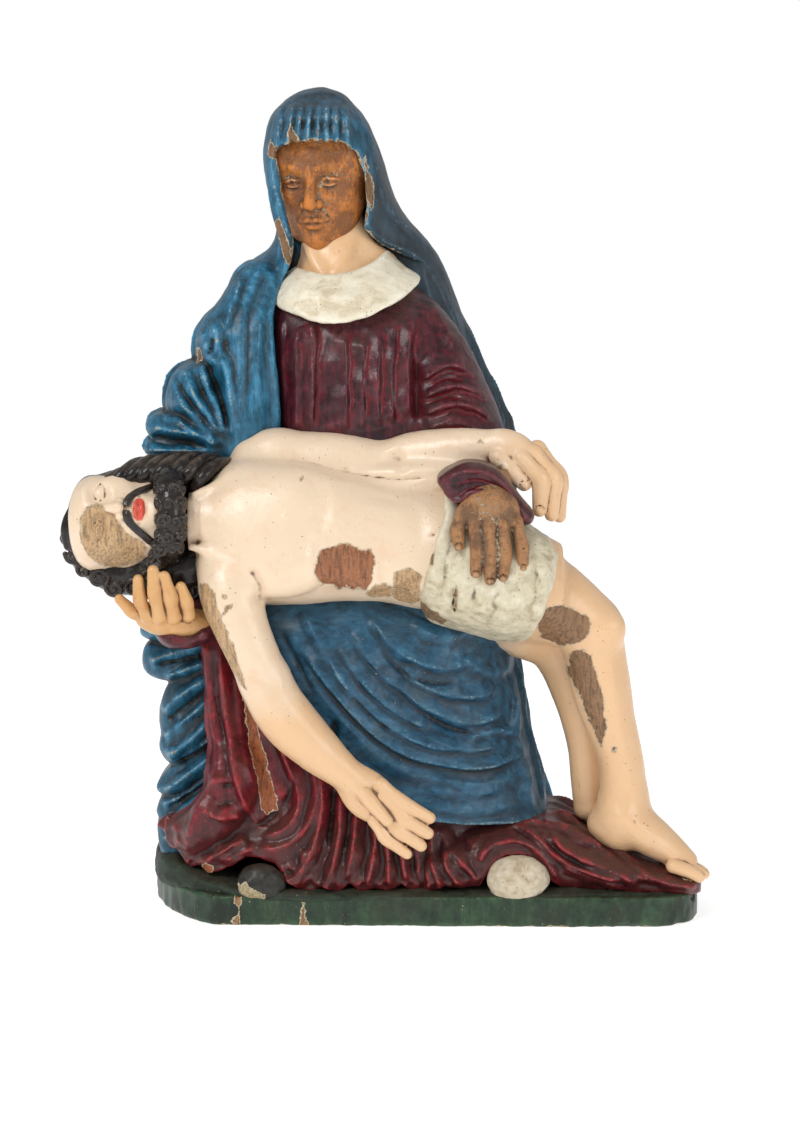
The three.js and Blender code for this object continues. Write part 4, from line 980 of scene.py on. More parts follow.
def hood_folds(sketch):
    arch = [(-80, 548), (-73, 560), (-60, 567), (-43, 569), (-29, 565), (-20, 555), (-13, 538)]
    sketch.fold([(x, z + 4) for x, z in arch], 3.4, 5, 1, 0.1, 0.4)
    sketch.fold(arch, -4.4, 2.2, 1, 0.1)
    for x, lean, high in [
        (-78, 4, 3), (-70, 5, 4), (-62.5, 4, 3.6), (-55, 3, 4.4), (-47, 1, 4), (-39.5, -1, 4.4),
        (-31.5, -3, 3.8), (-23, -5, 4),
    ]:
        sketch.fold([(x, 526), (x + lean / 2, 546), (x + lean, 564)], high * 1.3, 4.2, 0.5, 0.12, 0.6)
        sketch.fold([(x + 4, 528), (x + 4 + lean / 2, 545), (x + 4 + lean, 562)], -5, 1.7, 1, 0.2)
    for path, high, wide in [
        ([(-29, 572), (-12, 556), (-1, 532), (5, 508), (14, 491), (28, 474), (44, 452)], -6, 3),
        ([(-19, 555), (-9, 539), (-3, 510), (5, 489), (18, 475), (34, 461)], 4.6, 4),
        ([(-14, 545), (-8, 522), (-6, 500), (-4, 484), (8, 470), (26, 456)], -5, 2.6),
        ([(-10, 566), (3, 545), (10, 520), (16, 500), (28, 482), (46, 462)], 4.4, 4.4),
        ([
            (-14, 520), (-10, 496), (-12, 478), (0, 465), (30, 450), (50, 416), (66, 376), (82, 336),
        ], 2.6, 2.6),
        ([(36, 462), (54, 428), (68, 392), (82, 350), (90, 316)], -3, 2.6),
        ([(20, 480), (46, 456), (64, 420), (80, 372), (94, 326)], 2.8, 3.6),
        ([(-84, 540), (-80, 510), (-74, 486), (-68, 466)], 2, 3),
        ([(-87, 536), (-84, 510), (-79, 490)], -2.4, 2),
    ]:
        sketch.fold(path, high, wide, 0.8, 0.14)


mantle = Block((-186, -92, -4), (150, 110, 582), cell=1.45)
mantle.add(loft(mantle_rows, power=2.2, round_ends=4))
mantle.add(loft(mantle_side_rows, power=2.4, round_ends=4), 6)
mantle.add(limb([(-92, -12, 430, 22), (-98, -24, 400, 26), (-100, -32, 360, 28), (-100, -34, 316, 28)]), 8)
for outline, near, far, rounding in [
    (elbow_cloth, -52, 40, 34), (sleeve_cloth, -60, 40, 34), (upper_roll, -62, 30, 16),
    (lower_roll, -60, 30, 14), *side_cloths,
]:
    mantle.add(prism(curve(outline, 4, closed=True), 1, near, far, rounding), 3)
mantle.add(limb([
    (-80, -20, 530, 5), (-79.5, -27, 508, 5.5), (-76, -30, 486, 5.5), (-71, -28, 466, 5.5),
    (-72, -20, 446, 7),
]), 6)
mantle.cut(prism(face_opening, 1, -95.0, 4.0), 1.2)
mantle.cut(ball((-46, 2, 500), (34, 34, 44)), 4)
for x, size in [(-79, 3), (-66, 2.4), (-60, 1.6), (-48, 1.6), (-40, 2.4), (-31, 1.6), (-22, 2.4)]:
    mantle.cut(ball((x, -42, 535), (size, 8, size * 1.4)), 0.6)
front = Sketch(mantle, (0, 2))
shawl_folds(front)
cascade_folds(front)
hood_folds(front)
mantle.press(front, 1, -1)
side = Sketch(mantle, (1, 2))
for y, z in [(-22, 420), (-12, 404), (0, 396), (12, 400), (26, 410)]:
    side.fold([(y + 6, z), (y, z - 60), (y - 14, z - 110)], 4, 5, 0.7)
for y, top, low, high in [
    (-8, 300, 10, 4), (12, 330, 8, 5), (34, 400, 8, 5), (56, 430, 8, 5), (78, 440, 8, 5),
]:
    side.fold([(y - 4, top), (y + 2, (top + low) / 2), (y + 6, low)], high, 7, 0.6, 0.1)
mantle.press(side, 0, -1)
mantle.press(side, 0, 1)
back = Sketch(mantle, (0, 2))
for x, top, low, lean, high in [
    (-112, 420, 4, -26, 6), (-84, 450, 4, -20, 5), (-58, 500, 4, -14, 6), (-34, 470, 4, -2, 5),
    (-8, 500, 4, 14, 6), (18, 450, 4, 24, 5), (44, 420, 4, 34, 6), (68, 360, 4, 42, 5),
]:
    thirds = [(x + lean * share, top + (low - top) * t) for share, t in (
        (0, 0), (0.3, 1 / 3), (0.7, 2 / 3), (1, 1),
    )]
    back.fold(thirds, high, 8, 0.6, 0.12)
mantle.press(back, 1, 1)
mantle_piece, mantle_points = carved(mantle, "blue_mantle", most=150000, touch=0.4)
hood_losses = [
    [(-66, 528), (-69, 540), (-67, 550), (-64, 544), (-60, 536), (-56, 528)],
    [(-84, 526), (-82, 538), (-78, 532), (-76, 524)],
    [(-80, 478), (-76, 482), (-70, 466), (-66, 452), (-70, 446), (-75, 462)],
    [(-14, 530), (-10, 516), (-7, 500), (-9, 486), (-14, 500)],
    [(-136, 389), (-132, 388), (-132, 379), (-136, 377)],
]
to_edge = np.abs(outline_distance(face_opening, mantle_points[:, 0], mantle_points[:, 2])) - 0.4
to_edge[(mantle_points[:, 2] < 446) | (mantle_points[:, 1] > -4)] = 30
note(mantle_piece, "bare", np.minimum(spread(mantle_points, hood_losses, -12), to_edge))
# Painted shade: the mantle's right side is darkened as if the light came from the left. The paint is also
# darker towards the bottom, over the hood and at its top.
x, y, z = mantle_points.T
shaded_right_side = np.clip((x + 12) / 16, 0, 1) * np.clip(
    (y + 40) / 20, 0.6, 1,
) * ease((z - 120) / 200) * ease((580 - z) / 60) * 1.3
soiled_and_shaded = shaded_right_side + np.clip(
    (240 - z) / 50, 0, 0.75,
) + 0.75 * ease((z - 446) / 24) + np.clip((z - 552) / 30, 0, 0.3)
note(mantle_piece, "soiled_and_shaded", np.clip(soiled_and_shaded, 0, 1.25))
dress(mantle_piece, aged_paint(
    "aged_blue_paint", deep=(0.006, 0.04, 0.068), middle=(0.013, 0.108, 0.188), light=(0.052, 0.245, 0.41),
    worn=(0.25, 0.36, 0.39), streaks=(1, 1, 0.2), cleft=(0.008, 0.028, 0.04), chips=0.1,
    bare=(0.22, 0.12, 0.06), grime=0.45, dust=0.1, specks=0.25, soiled_and_shaded=True, flakes=0.25, wear=0.8,
))

# The mantle's front half: it lies across her knees over the red skirt, pulled tight into long slanting
# folds. The paint is a little smoother and deeper there, with thin pale lines along the fold ridges: rubbed
# wear and painted highlight.
lap_rows = [
    (236, -104, 90, -62, 60), (215, -118, 96, -88, 60), (190, -128, 98, -103, 60), (159, -130, 98, -107, 60),
    (123, -128, 104, -106, 55), (94, -124, 110, -106, 50), (66, -122, 117, -108, 45),
    (36, -122, 126, -110, 40),
]
lap_edge = [
    (-150, 262), (-112, 232), (-101, 205), (-92, 182), (-82, 156), (-68, 130), (-50, 110), (-34, 96),
    (-16, 84), (-2, 76), (14, 64), (34, 52), (60, 48), (84, 47), (130, 44), (150, 44),
]


def lap_folds(sketch):
    main = [
        (-60, 172), (-50, 158), (-40, 145), (-20, 122), (-3, 106), (18, 94), (40, 88), (62, 84), (84, 85),
        (106, 92),
    ]
    sketch.fold([(x + 1, z + 5) for x, z in main], 7, 12, 0.25, 0.12)
    sketch.fold(main, -7, 2.4, 1, 0.1)
    sketch.fold([(x, z - 6) for x, z in main], 3, 6, 1, 0.12)
    for path, high, wide, steep in [
        ([(-44, 180), (-28, 152), (-12, 134), (8, 119), (24, 110), (44, 104), (60, 103)], 5, 10, 0.3),
        ([(-34, 182), (-18, 158), (-2, 140), (16, 127), (34, 119)], 4.6, 9, 0.3),
        ([(-22, 190), (-8, 167), (8, 151), (26, 139)], 3.6, 9, 0.35),
        ([(-10, 200), (6, 180), (24, 168), (46, 162), (62, 166)], 6, 11, 0.35),
        ([(12, 166), (26, 152), (46, 143), (66, 140), (84, 144)], 5, 9, 0.35),
        ([(4, 158), (24, 139), (47, 126), (68, 121), (92, 127)], 5, 9, 0.35),
        ([(30, 114), (48, 106), (64, 102), (86, 103)], 4.4, 7, 0.4),
        ([(60, 110), (78, 114), (98, 112)], 3.4, 6, 0.5),
        ([(98, 156), (97, 126), (92, 106)], 4, 8, 1), ([(110, 124), (106, 94), (110, 66)], 4, 8, 1),
        ([(-58, 204), (-42, 174), (-28, 152)], 3.4, 9, 0.5),
        ([(-24, 88), (4, 72), (34, 62), (74, 59), (116, 64)], 3, 10, 0.5),
        ([(18, 196), (44, 184), (70, 190)], 4, 10, 0.5), ([(56, 170), (76, 156), (96, 156)], 3.6, 9, 0.5),
        ([(-8, 78), (16, 62), (40, 52), (84, 48), (128, 47)], 2.6, 3.4, 1),
        ([(30, 76), (56, 70), (86, 72)], 2.6, 7, 0.5),
    ]:
        sketch.fold(path, high, wide, steep, 0.14)
    for path, high, wide in [
        ([(-28, 152), (-12, 132), (6, 117)], -3.4, 2),
        ([(-4, 178), (14, 160), (34, 152), (54, 151)], -3.4, 2.2),
        ([(22, 134), (44, 120), (66, 114), (88, 118)], -3, 2), ([(-74, 190), (-62, 168), (-48, 142)], -4, 4),
        ([(-6, 210), (18, 202), (44, 190)], -3, 5), ([(84, 176), (92, 140), (90, 110)], -2.6, 4),
    ]:
        sketch.fold(path, high, wide, 1, 0.2)


lap = Block((-136, -124, 30), (136, 64, 240), cell=1.35)
lap.add(loft(lap_rows, power=2.5))
lap.cut(ball((-36, -108, 116), (5, 7, 11), (0, 14, 0)), 3)
front = Sketch(lap, (0, 2))
lap_folds(front)
lap.press(front, 1, -1)
right = Sketch(lap, (1, 2))
for y, top in [(-74, 150), (-52, 170), (-28, 180), (0, 190), (26, 200)]:
    right.fold([(y + 8, top), (y + 2, 110), (y - 4, 46)], 4, 7, 0.6)
lap.press(right, 0, 1)
lap_x, lap_z = np.array(lap_edge).T
lap.keep(lambda x, y, z: np.interp(x, lap_x, lap_z) - z + 0 * y, 2)
lap_piece, _ = carved(lap, "blue_lap", most=75000, touch=0.4)
dress(lap_piece, aged_paint(
    "aged_blue_lap_paint", deep=(0.006, 0.034, 0.06), middle=(0.016, 0.075, 0.135),
    light=(0.042, 0.145, 0.23), worn=(0.17, 0.25, 0.28), streaks=(0.3, 1, 0.7), cleft=(0.006, 0.026, 0.045),
    chips=0.04, grime=0.45, wear=0.8, specks=0.12, flakes=0.2,
))

# The red dress: a bodice gathered in upright pleats under the collar, and the sleeve of her left arm. The
# crimson has turned purplish here, and the pleats are cut deep.
bodice_rows = [
    (444, -54, 0, -10, 30), (420, -84, 34, -42, 40), (390, -84, 46, -57, 40), (345, -80, 56, -63, 40),
    (300, -84, 66, -65, 40), (262, -88, 72, -66, 40),
]


def bodice_folds(sketch):
    for path, high, wide, steep in [
        ([(-72, 326), (-73, 366), (-74, 410)], 3, 6, 0.4),
        ([(-63, 326), (-63, 364), (-63, 406)], 3.6, 8, 0.4),
        ([(-52, 326), (-51, 364), (-50, 396), (-54, 406)], 5.6, 11, 0.25),
        ([(-38, 326), (-38, 356), (-40, 386)], 2, 9, 0.8),
        ([(-27, 326), (-27, 364), (-28, 404)], 4.8, 12, 0.25),
        ([(-15, 328), (-15, 362), (-14, 400)], 4.4, 10, 0.3),
        ([(-4, 330), (-4, 366), (-2, 406)], 5.2, 10, 0.3), ([(7, 332), (6, 370), (9, 412)], 4.4, 9, 0.3),
        ([(19, 336), (18, 378), (22, 422)], 5.2, 10, 0.3), ([(-60, 404), (-57, 397), (-49, 399)], 3, 4, 1),
    ]:
        sketch.fold(path, high, wide, steep, 0.14, 0.55)
    for path, high, wide, steep in [
        ([(26, 364), (42, 375), (56, 375), (72, 364)], 6, 8, 0.4),
        ([(26, 352), (47, 361), (64, 359), (80, 348)], 6.4, 8, 0.4),
        ([(26, 340), (47, 348), (64, 347), (84, 334)], 6.4, 8, 0.4),
        ([(28, 330), (50, 336), (72, 330)], 4, 6, 0.5),
        ([(26, 444), (35, 424), (47, 398), (60, 370)], 4, 9, 0.6),
        ([(34, 452), (46, 424), (60, 392), (74, 360)], 3, 9, 0.6),
    ]:
        sketch.fold(path, high, wide, steep, 0.16)
    for path, high, wide in [
        ([(28, 358), (48, 367), (70, 358)], -3, 2), ([(28, 347), (48, 354), (74, 345)], -3, 2),
        ([(24, 384), (24, 356), (24, 334)], -5, 3),
    ]:
        sketch.fold(path, high, wide, 1, 0.2)


bodice = Block((-92, -72, 258), (98, 46, 458), cell=1.25)
bodice.add(loft(bodice_rows, power=2.5))
bodice.add(limb([(10, -2, 414, 21), (28, -18, 385, 31), (48, -30, 338, 35), (58, -40, 312, 34)]), 8)
front = Sketch(bodice, (0, 2))
bodice_folds(front)
bodice.press(front, 1, -1)
bodice_piece, _ = carved(bodice, "red_dress", most=55000, touch=0.35)
crimson = aged_paint(
    "aged_crimson_paint", deep=(0.02, 0.003, 0.006), middle=(0.062, 0.009, 0.015),
    light=(0.15, 0.024, 0.034), worn=(0.22, 0.1, 0.1), cleft=(0.15, 0.002, 0.009), streaks=(1, 1, 0.14),
    gloss=0.34, coat=0.18, grime=0.55, wear=0.3, dirt_and_shade=0.75, dust=0.15,
)
dress(bodice_piece, crimson)

# The linen collar: a wide round gathered collar that lies on the dress, oil paint over a thick chalk ground,
# with its edge a little broken.
collar_rows = [
    (398, -86, 44, -60, 40), (412, -86, 42, -60, 40), (425, -83, 37, -56, 40), (438, -74, 28, -47, 36),
    (448, -64, 14, -38, 32), (458, -56, 4, -30, 28), (470, -50, 0, -24, 28),
]
collar_outline = [
    (-81, 422), (-73.5, 415.5), (-55, 409), (-40, 406), (-21.5, 408), (-3, 414.5), (15.7, 425.5),
    (27, 436.5), (33.6, 448), (29, 454), (19.4, 457.5), (8.3, 460), (0.8, 458), (-6.6, 450.5), (-17.7, 445),
    (-30.7, 441.5), (-45.6, 441.5), (-60.5, 445), (-70.5, 448.6), (-76.5, 440), (-80, 430),
]
collar = Block((-90, -68, 396), (44, 20, 472), cell=0.9)
collar.add(loft(collar_rows, power=2.5))
front = Sketch(collar, (0, 2))
for drop, high, wide in [(31, 1.0, 1.8), (22, -0.5, 3), (12, 0.6, 3)]:
    lower = [
        (-74, 446 - drop * 0.7), (-58, 443 - drop), (-40, 438 - drop), (-18, 439 - drop), (4, 449 - drop),
        (20, 456 - drop * 0.8),
    ]
    front.swell(lower, high, wide, 1, 0.2)
collar.press(front, 1, -1)
collar.keep(lambda x, y, z: outline_distance(curve(collar_outline, 3, closed=True), x, z) + 0 * y, 3)
collar_piece, _ = carved(collar, "linen_collar", most=24000, touch=0.55)
dress(collar_piece, aged_paint(
    "linen_white_paint", deep=(0.58, 0.49, 0.34), middle=(0.73, 0.66, 0.51), light=(0.83, 0.78, 0.64),
    worn=(0.46, 0.34, 0.21), streaks=(0.4, 1, 0.8), gloss=0.42, dirt_and_shade=0.55, grime=0.05, wear=0.5, specks=0.3,
    chips=0.06,
))


# Her neck: it rises out of the collar, in glossy flesh-coloured oil paint up to the edge of the worn face.
def skin_paint(name, pale, warm, ruddy, soil_and_shade=0.6, patches=False, lips=False, speckle=0.3):
    """Thick glossy flesh paint, yellowed, with brown in the creases, specks and lost patches."""
    f = Finish(name)
    hollow, nick = f.written("hollow"), f.written("nick")
    clouds, mottle, fine = f.noise(24, 3.0), f.noise(7, 5.0, None, 0.7), f.noise(1.6, 3.0)
    colour = f.mix(pale, warm, (f.written("warm") + (clouds - 0.5) * 0.9).rise(0.05, 0.95))
    colour = f.mix(colour, ruddy, (mottle * 0.6 + clouds * 0.4).rise(0.5, 0.72) * 0.4)
    if lips:
        colour = f.mix(colour, LIP_RED, (f.written("lips") + (mottle - 0.5) * 0.8).rise(0.4, 0.7))
    # Brown dirt and painted shade in the creases, near black deepest in.
    silt_and_shade = ((hollow - 0.5) * 3.0 + (nick - 0.5) * 2.6 + mottle * 0.7).rise(0.6, 1.15)
    colour = f.mix(colour, SKIN_SOIL_AND_SHADE, silt_and_shade * soil_and_shade)
    colour = f.mix(colour, DIRT_AND_SHADE, silt_and_shade.rise(0.8, 1.0) * 0.55)
    rubbed = ((0.5 - nick) * 3.0 + mottle * 0.8).rise(0.95, 1.15)
    colour = f.mix(colour, WORN_SKIN, rubbed * 0.6)
    crowd = f.noise(26, 2.0).rise(0.42, 0.6)
    flecks = (f.pits(4.2, 0.55, speckle) * crowd).most(f.pits(2.4, 0.3, speckle * 0.7) * crowd)
    colour = f.mix(colour, SKIN_SOIL_AND_SHADE, flecks * 0.85)
    height = f.noise(5, 3.0, (1, 0.5, 1)) * 0.45 + fine * 0.08 - flecks * 0.3
    rough = 0.33 + silt_and_shade * 0.3 + (mottle - 0.5) * 0.25
    if patches:
        tone = f.written("bare_tone")
        wood = f.mix(f.grained(TAN_WOOD), f.grained(WOUND_WOOD), tone.rise(0, 1))
        wood = f.mix(wood, f.grained(SHIN_WOOD), tone.rise(1.2, 1.8))
        colour, rough, height = f.uncover(colour, rough, height, *f.edges("bare"), wood)
    return f.close(colour, rough, height, coat=0.25, coat_rough=0.28, shine=0.4)


# Flesh paint's brown, for specks and for dirt and painted shade in creases, and its rubbed colour.
SKIN_SOIL_AND_SHADE, WORN_SKIN = (0.2, 0.085, 0.032), (0.5, 0.32, 0.17)
WOUND_WOOD, SHIN_WOOD = (0.34, 0.13, 0.055), (0.27, 0.145, 0.068)
LIP_RED = (0.62, 0.075, 0.045)
neck = Block((-80, -44, 412), (14, 44, 496), cell=1.2)
neck.add(limb([(-40, 10, 490, 23), (-38, 4, 470, 23), (-37, -2, 450, 25), (-34, 0, 430, 34)]))
neck.add(limb([(-28, 2, 474, 13), (-16, -2, 456, 13), (-2, 0, 446, 13)]), 8)
for lean in (-1, 1):
    neck.add(limb([
        (-41 + 18 * lean, -8, 474, 3), (-40 + 11 * lean, -24, 452, 3.4), (-39 + 5 * lean, -30, 441, 3),
    ]), 6)
neck_piece, neck_points = carved(neck, "mother_neck", most=8000, touch=0.3)
note(neck_piece, "warm", 0.55 + 0 * neck_points[:, 0])
dress(neck_piece, skin_paint(
    "neck_flesh_paint", pale=(0.76, 0.54, 0.34), warm=(0.76, 0.45, 0.22), ruddy=(0.66, 0.33, 0.14),
))


# Her face: a head of ordinary proportions on its own axes, eyes half way up, with lowered lids. The paint
# has gone from it down to brown wood, with scraps of chalk ground left in the carving.
class Axes:
    """Head axes in the drawing: right, back and up of the head, times its size."""

    def __init__(self, origin, right, back, size):
        right = np.array(right, float) / np.linalg.norm(right)
        back = np.array(back, float) - right * (np.array(back, float) @ right)
        back /= np.linalg.norm(back)
        self.origin, self.matrix = np.array(origin, float), np.stack([
            right, back, np.cross(right, back),
        ], 1) * size

    def out(self, points):
        return self.origin + points @ self.matrix.T

    def back(self, points):
        return (points - self.origin) @ np.linalg.inv(self.matrix).T


def lid_line(eye, ball_size, top, bow):
    """A lid's edge on the eyeball: top is its height at the middle, bow how far it curves to the corners."""
    points = []
    for x in np.linspace(-8, 8, 9):
        z = top - bow * (x / 8) ** 2
        points.append((eye[0] + x, eye[1] - math.sqrt(max(ball_size**2 - x * x - z * z, 5)), eye[2] + z))
    return points


def carve_face(block, jaw, lids):
    """Chin to crown 92 mm, facing -y. jaw widens the jaw, lids is how far the eyes are closed."""
    block.add(ball((0, 6, 8), (34.5, 40, 39)))
    block.add(ball((0, -5, -13), (28.5, 28.5, 34)), 10)
    for s in (-1, 1):
        block.add(ball((18 * s, -19, -11), (10, 9.5, 11)), 9)
        block.add(limb([((24 + jaw) * s, -2, -17, 8), ((18 + jaw) * s, -13, -34, 7.5), (0, -22, -42, 7)]), 9)
    block.add(ball((0, -25, -39.5), (9 + jaw, 8, 7)), 6)
    block.add(ball((0, -25, -27), (13.5, 9.4, 11)), 6)
    for s in (-1, 1):
        block.cut(ball((13 * s, -38, -1), (10.4, 8.4, 7)), 6)
    brow = [(-25, -20, 6, 2), (-16, -28.6, 10.4, 2.6), (-7, -31, 9.4, 2.4), (-2, -31, 6, 2.6)]
    for s in (-1, 1):
        block.add(limb([(x * s, y, z, r) for x, y, z, r in brow]), 4)
        eye = np.array((13 * s, -24.4, -1))
        block.add(ball(eye, 6.9), 0.6)
        upper, lower = lid_line(eye, 7.3, 3.6 - 5.4 * lids, 3.6 - 5.4 * lids), lid_line(eye, 7.2, -2.6, -2.6)
        block.add(limb([(*p, 1.15) for p in upper], steps=2), 0.5)
        block.add(limb([(*p, 0.85) for p in lower], steps=2), 0.5)
        block.cut(limb([(*p, 0.5) for p in lid_line(eye, 7.5, 6.2 - 2 * lids, 4.4)], steps=2), 0.8)
        if lids > 0.7:
            block.cut(limb([(*p, 0.55) for p in lid_line(eye, 8, -1.9, -2.1)], steps=2), 0.4)
        else:
            block.cut(ball(eye + (-1.2, -7.4, 0.2), (1.9, 1.6, 1.9)), 0.5)
    block.add(limb([(0, -30, 7, 3.2), (0, -34, -2, 3.2), (0, -37.6, -11, 3.8), (0, -38.8, -15.6, 4.3)]), 3.4)
    for s in (-1, 1):
        block.add(ball((5 * s, -33.6, -16.4), (3.4, 4.6, 3.3)), 1.6)
        block.cut(ball((2.8 * s, -36.2, -20), (1.6, 2.4, 1.2)), 0.5)
        block.cut(limb([(7.4 * s, -33.2, -20, 0.4), (12.6 * s, -30.4, -28, 0.4)]), 2)
    block.cut(limb([(0, -35.9, -21, 1), (0, -35.9, -25, 1.1)]), 1.2)
    upper = [
        (-9.8, -30.6, -29.4, 0.9), (-3.6, -34.4, -27.3, 1.9), (0, -34.7, -27.9, 1.6),
        (3.6, -34.4, -27.3, 1.9), (9.8, -30.6, -29.4, 0.9),
    ]
    block.add(limb(upper), 1)
    block.add(limb([(-7.8, -31, -31, 1.1), (0, -33.9, -32.2, 2.5), (7.8, -31, -31, 1.1)]), 1)
    part = [(-10, -32, -29.6, 0.45), (-3, -37, -29.5, 0.6), (3, -37, -29.5, 0.6), (10, -32, -29.6, 0.45)]
    block.cut(limb(part), 0.6)
    for s in (-1, 1):
        block.cut(ball((10.8 * s, -31.4, -29.8), 1.2), 1.4)
    block.cut(ball((0, -35.8, -36.2), (6, 2.4, 2)), 3)


def worn_wood(name, orange=(0.6, 0.2, 0.034), brown=(0.24, 0.09, 0.03), dark=(0.045, 0.02, 0.009)):
    """Wood that has lost its paint: handled orange and brown, dark pores, dirt and painted shade in the
    hollows, scraps of chalk in the carving.
    """
    f = Finish(name)
    hollow, nick = f.written("hollow"), f.written("nick")
    clouds, mottle, fine = f.noise(20, 3.0), f.noise(6, 6.0, None, 0.75), f.noise(1.7, 4.0, None, 0.75)
    grain = f.noise(3, 5.0, (1, 1, 0.35), 0.75, 0.8)
    colour = f.mix(
        brown, orange, (clouds * 0.45 + grain * 0.35 + mottle * 0.2 + (0.5 - hollow) * 0.4).rise(0.46, 0.58),
    )
    # Darker in the hollows and creases: dirt and painted shade.
    colour = f.mix(
        colour, dark, ((hollow - 0.5) * 2.2 + (nick - 0.5) * 2.2 + mottle * 1.2).rise(0.7, 1.15) * 0.8,
    )
    colour = f.mix(colour, dark, (mottle * 0.5 + fine * 0.5).rise(0.52, 0.62) * 0.6)
    colour = f.mix(colour, CHALK, ((0.5 - nick) * 2.4 + fine * 1.2).rise(0.9, 1.04) * 0.6)
    scraps = (f.noise(2.6, 8.0, None, 0.85) * 0.75 + clouds * 0.25 + (hollow - 0.5) * 0.3).rise(0.54, 0.575)
    colour = f.mix(colour, CHALK, scraps.most(f.pits(2.2, 0.32, 0.4) * 0.8) * 0.75)
    holes = f.pits(6, 0.7, 0.3)
    colour = f.mix(colour, DIRT_AND_SHADE, holes)
    height = grain * 0.6 + mottle * 0.9 + fine * 0.45 + scraps * 0.25 - holes * 0.6
    rough = 0.4 + scraps * 0.3 + (mottle - 0.5) * 0.4
    return f.close(colour, rough, height, coat=0.1)


mother_axes = Axes((-45.5, 0, 512), (1, -0.24, 0.05), (0.24, 1, 0.12), 1.03)
face = Block((-40, -48, -54), (40, 20, 50), cell=0.72)
carve_face(face, -2.5, 0.3)
for s in (-1, 1):
    face.add(ball((23 * s, -9, 16), (12, 17, 24)), 8)
face.keep(lambda x, y, z: z - 40 + 0 * x + 0 * y, 2)
face_piece, _ = carved(face, "mother_face", most=52000, touch=0.24, place=mother_axes.out, hollow=3)
handled_wood = worn_wood("worn_face_wood")
dress(face_piece, handled_wood)


# Her hands: her left lies flat on his hip, worn to brown wood, and her right holds his head from below,
# still painted. The fingers are a little too long and nearly straight, as village carvers make them.
def finger(block, root, middle, tip, thick, nail=None, blend=2.0):
    """One finger through its three knuckles, with its nail on the side that a direction gives."""
    root, middle, tip = (np.array(p, float) for p in (root, middle, tip))
    stations = [
        (*root, thick), (*(root * 0.5 + middle * 0.5), thick * 0.9), (*middle, thick * 0.98),
        (*(middle * 0.5 + tip * 0.5), thick * 0.86), (*tip, thick * 0.74),
    ]
    block.add(limb(stations, steps=4), blend)
    if nail is not None:
        way = np.array(nail, float) / np.linalg.norm(nail)
        along = (tip - middle) / np.linalg.norm(tip - middle)
        at = tip + way * thick * 0.46 + along * thick * 0.1
        block.cut(ball(at + way * 0.6, thick * 0.58), 0.6)
        block.add(ball(at - way * 0.1, thick * 0.48), 0.4)


hand_left = Block((42, -152, 218), (112, -100, 306), cell=0.85)
hand_left.add(limb([(72, -104, 300, 13), (74, -118, 292, 13), (75, -128, 284, 13)], (1.35, 1, 1)))
hand_left.add(ball((74, -132, 277), (22, 9, 15), (8, 0, 0)), 6)
for root, middle, tip, thick in [
    ((64, -136, 270), (66, -139.5, 251), (65, -138, 236), 5.5),
    ((74, -138, 269), (75, -140.5, 249), (75, -138.5, 231), 5.6),
    ((84, -137, 269), (85, -140, 249), (84, -138, 233), 5.5),
    ((93, -133, 271), (97, -137, 254), (98, -135, 240), 5.2),
    ((56, -132, 277), (52, -136, 265), (53, -136, 255), 5.6),
]:
    finger(hand_left, root, middle, tip, thick, (0, -1, -0.15))
for x in (65, 74, 83, 91):
    hand_left.add(limb([(x * 0.5 + 37, -134, 286, 1.6), (x, -138.5, 271, 2.3)]), 3)
hand_left_piece, _ = carved(hand_left, "mother_left_hand", most=30000, touch=0.2, hollow=2.6)
dress(hand_left_piece, worn_wood(
    "worn_hand_wood", orange=(0.42, 0.2, 0.08), brown=(0.17, 0.085, 0.04),
))

hand_right = Block((-192, -134, 178), (-122, -78, 246), cell=0.9)
hand_right.add(limb([(-132, -92, 192, 13), (-146, -97, 194, 14), (-156, -100, 198, 14)], (1, 1, 0.9)))
hand_right.add(ball((-157, -101, 201), (20, 13, 12), (0, -12, 0)), 5)
for root, middle, tip, thick in [
    ((-168, -104, 197), (-178, -109, 204), (-187, -109, 213), 5.0),
    ((-167, -111, 201), (-172, -117, 214), (-173, -117, 228), 5.2),
    ((-158, -114, 201), (-161, -121, 219), (-162, -120, 235), 5.4),
    ((-148, -114, 201), (-150, -120, 216), (-154, -120, 231), 5.3),
    ((-138, -110, 202), (-139, -116, 212), (-143, -116, 223), 5.2),
]:
    finger(hand_right, root, middle, tip, thick)
for x in (-162, -153, -144):
    hand_right.cut(limb([(x - 1, -128, 212, 1), (x + 1, -120, 202, 0.8)]), 1.5)
hand_right_piece, hand_points = carved(hand_right, "mother_right_hand", most=28000, touch=0.25, hollow=3)
note(hand_right_piece, "warm", 0.5 + 0 * hand_points[:, 0])
dress(hand_right_piece, skin_paint(
    "hand_flesh_paint", pale=(0.68, 0.42, 0.19), warm=(0.58, 0.28, 0.09), ruddy=(0.46, 0.18, 0.055),
    soil_and_shade=1.0, speckle=0.6,
))

# The red cuffs: the ends of her two sleeves, one over his hip round her own wrist, one below his head.
cuff_outline = [
    (38, 299), (44, 306), (57, 312), (68, 312), (79, 308), (89, 298), (98, 286), (106, 276), (104, 269),
    (96, 268), (90, 277), (83, 287), (72, 291), (61, 290), (52, 283), (45, 289),
]
cuff_left = Block((28, -140, 264), (108, -84, 326), cell=1.0)
cuff_left.add(prism(curve(cuff_outline, 4, closed=True), 1, -135, -90, 12))
cuff_left.add(limb([
    (45, -127, 291, 1.8), (52, -133, 286, 2), (62, -135, 292, 2.1), (73, -135, 292, 2.1), (84, -132, 287, 2),
    (92, -128, 276, 1.8),
]), 2)
front = Sketch(cuff_left, (0, 2))
front.fold([(42, 300), (54, 306), (68, 307), (82, 300), (96, 284)], 3, 4, 0.6)
front.fold([(46, 295), (56, 299), (68, 300), (82, 294), (94, 280)], -2.4, 2)
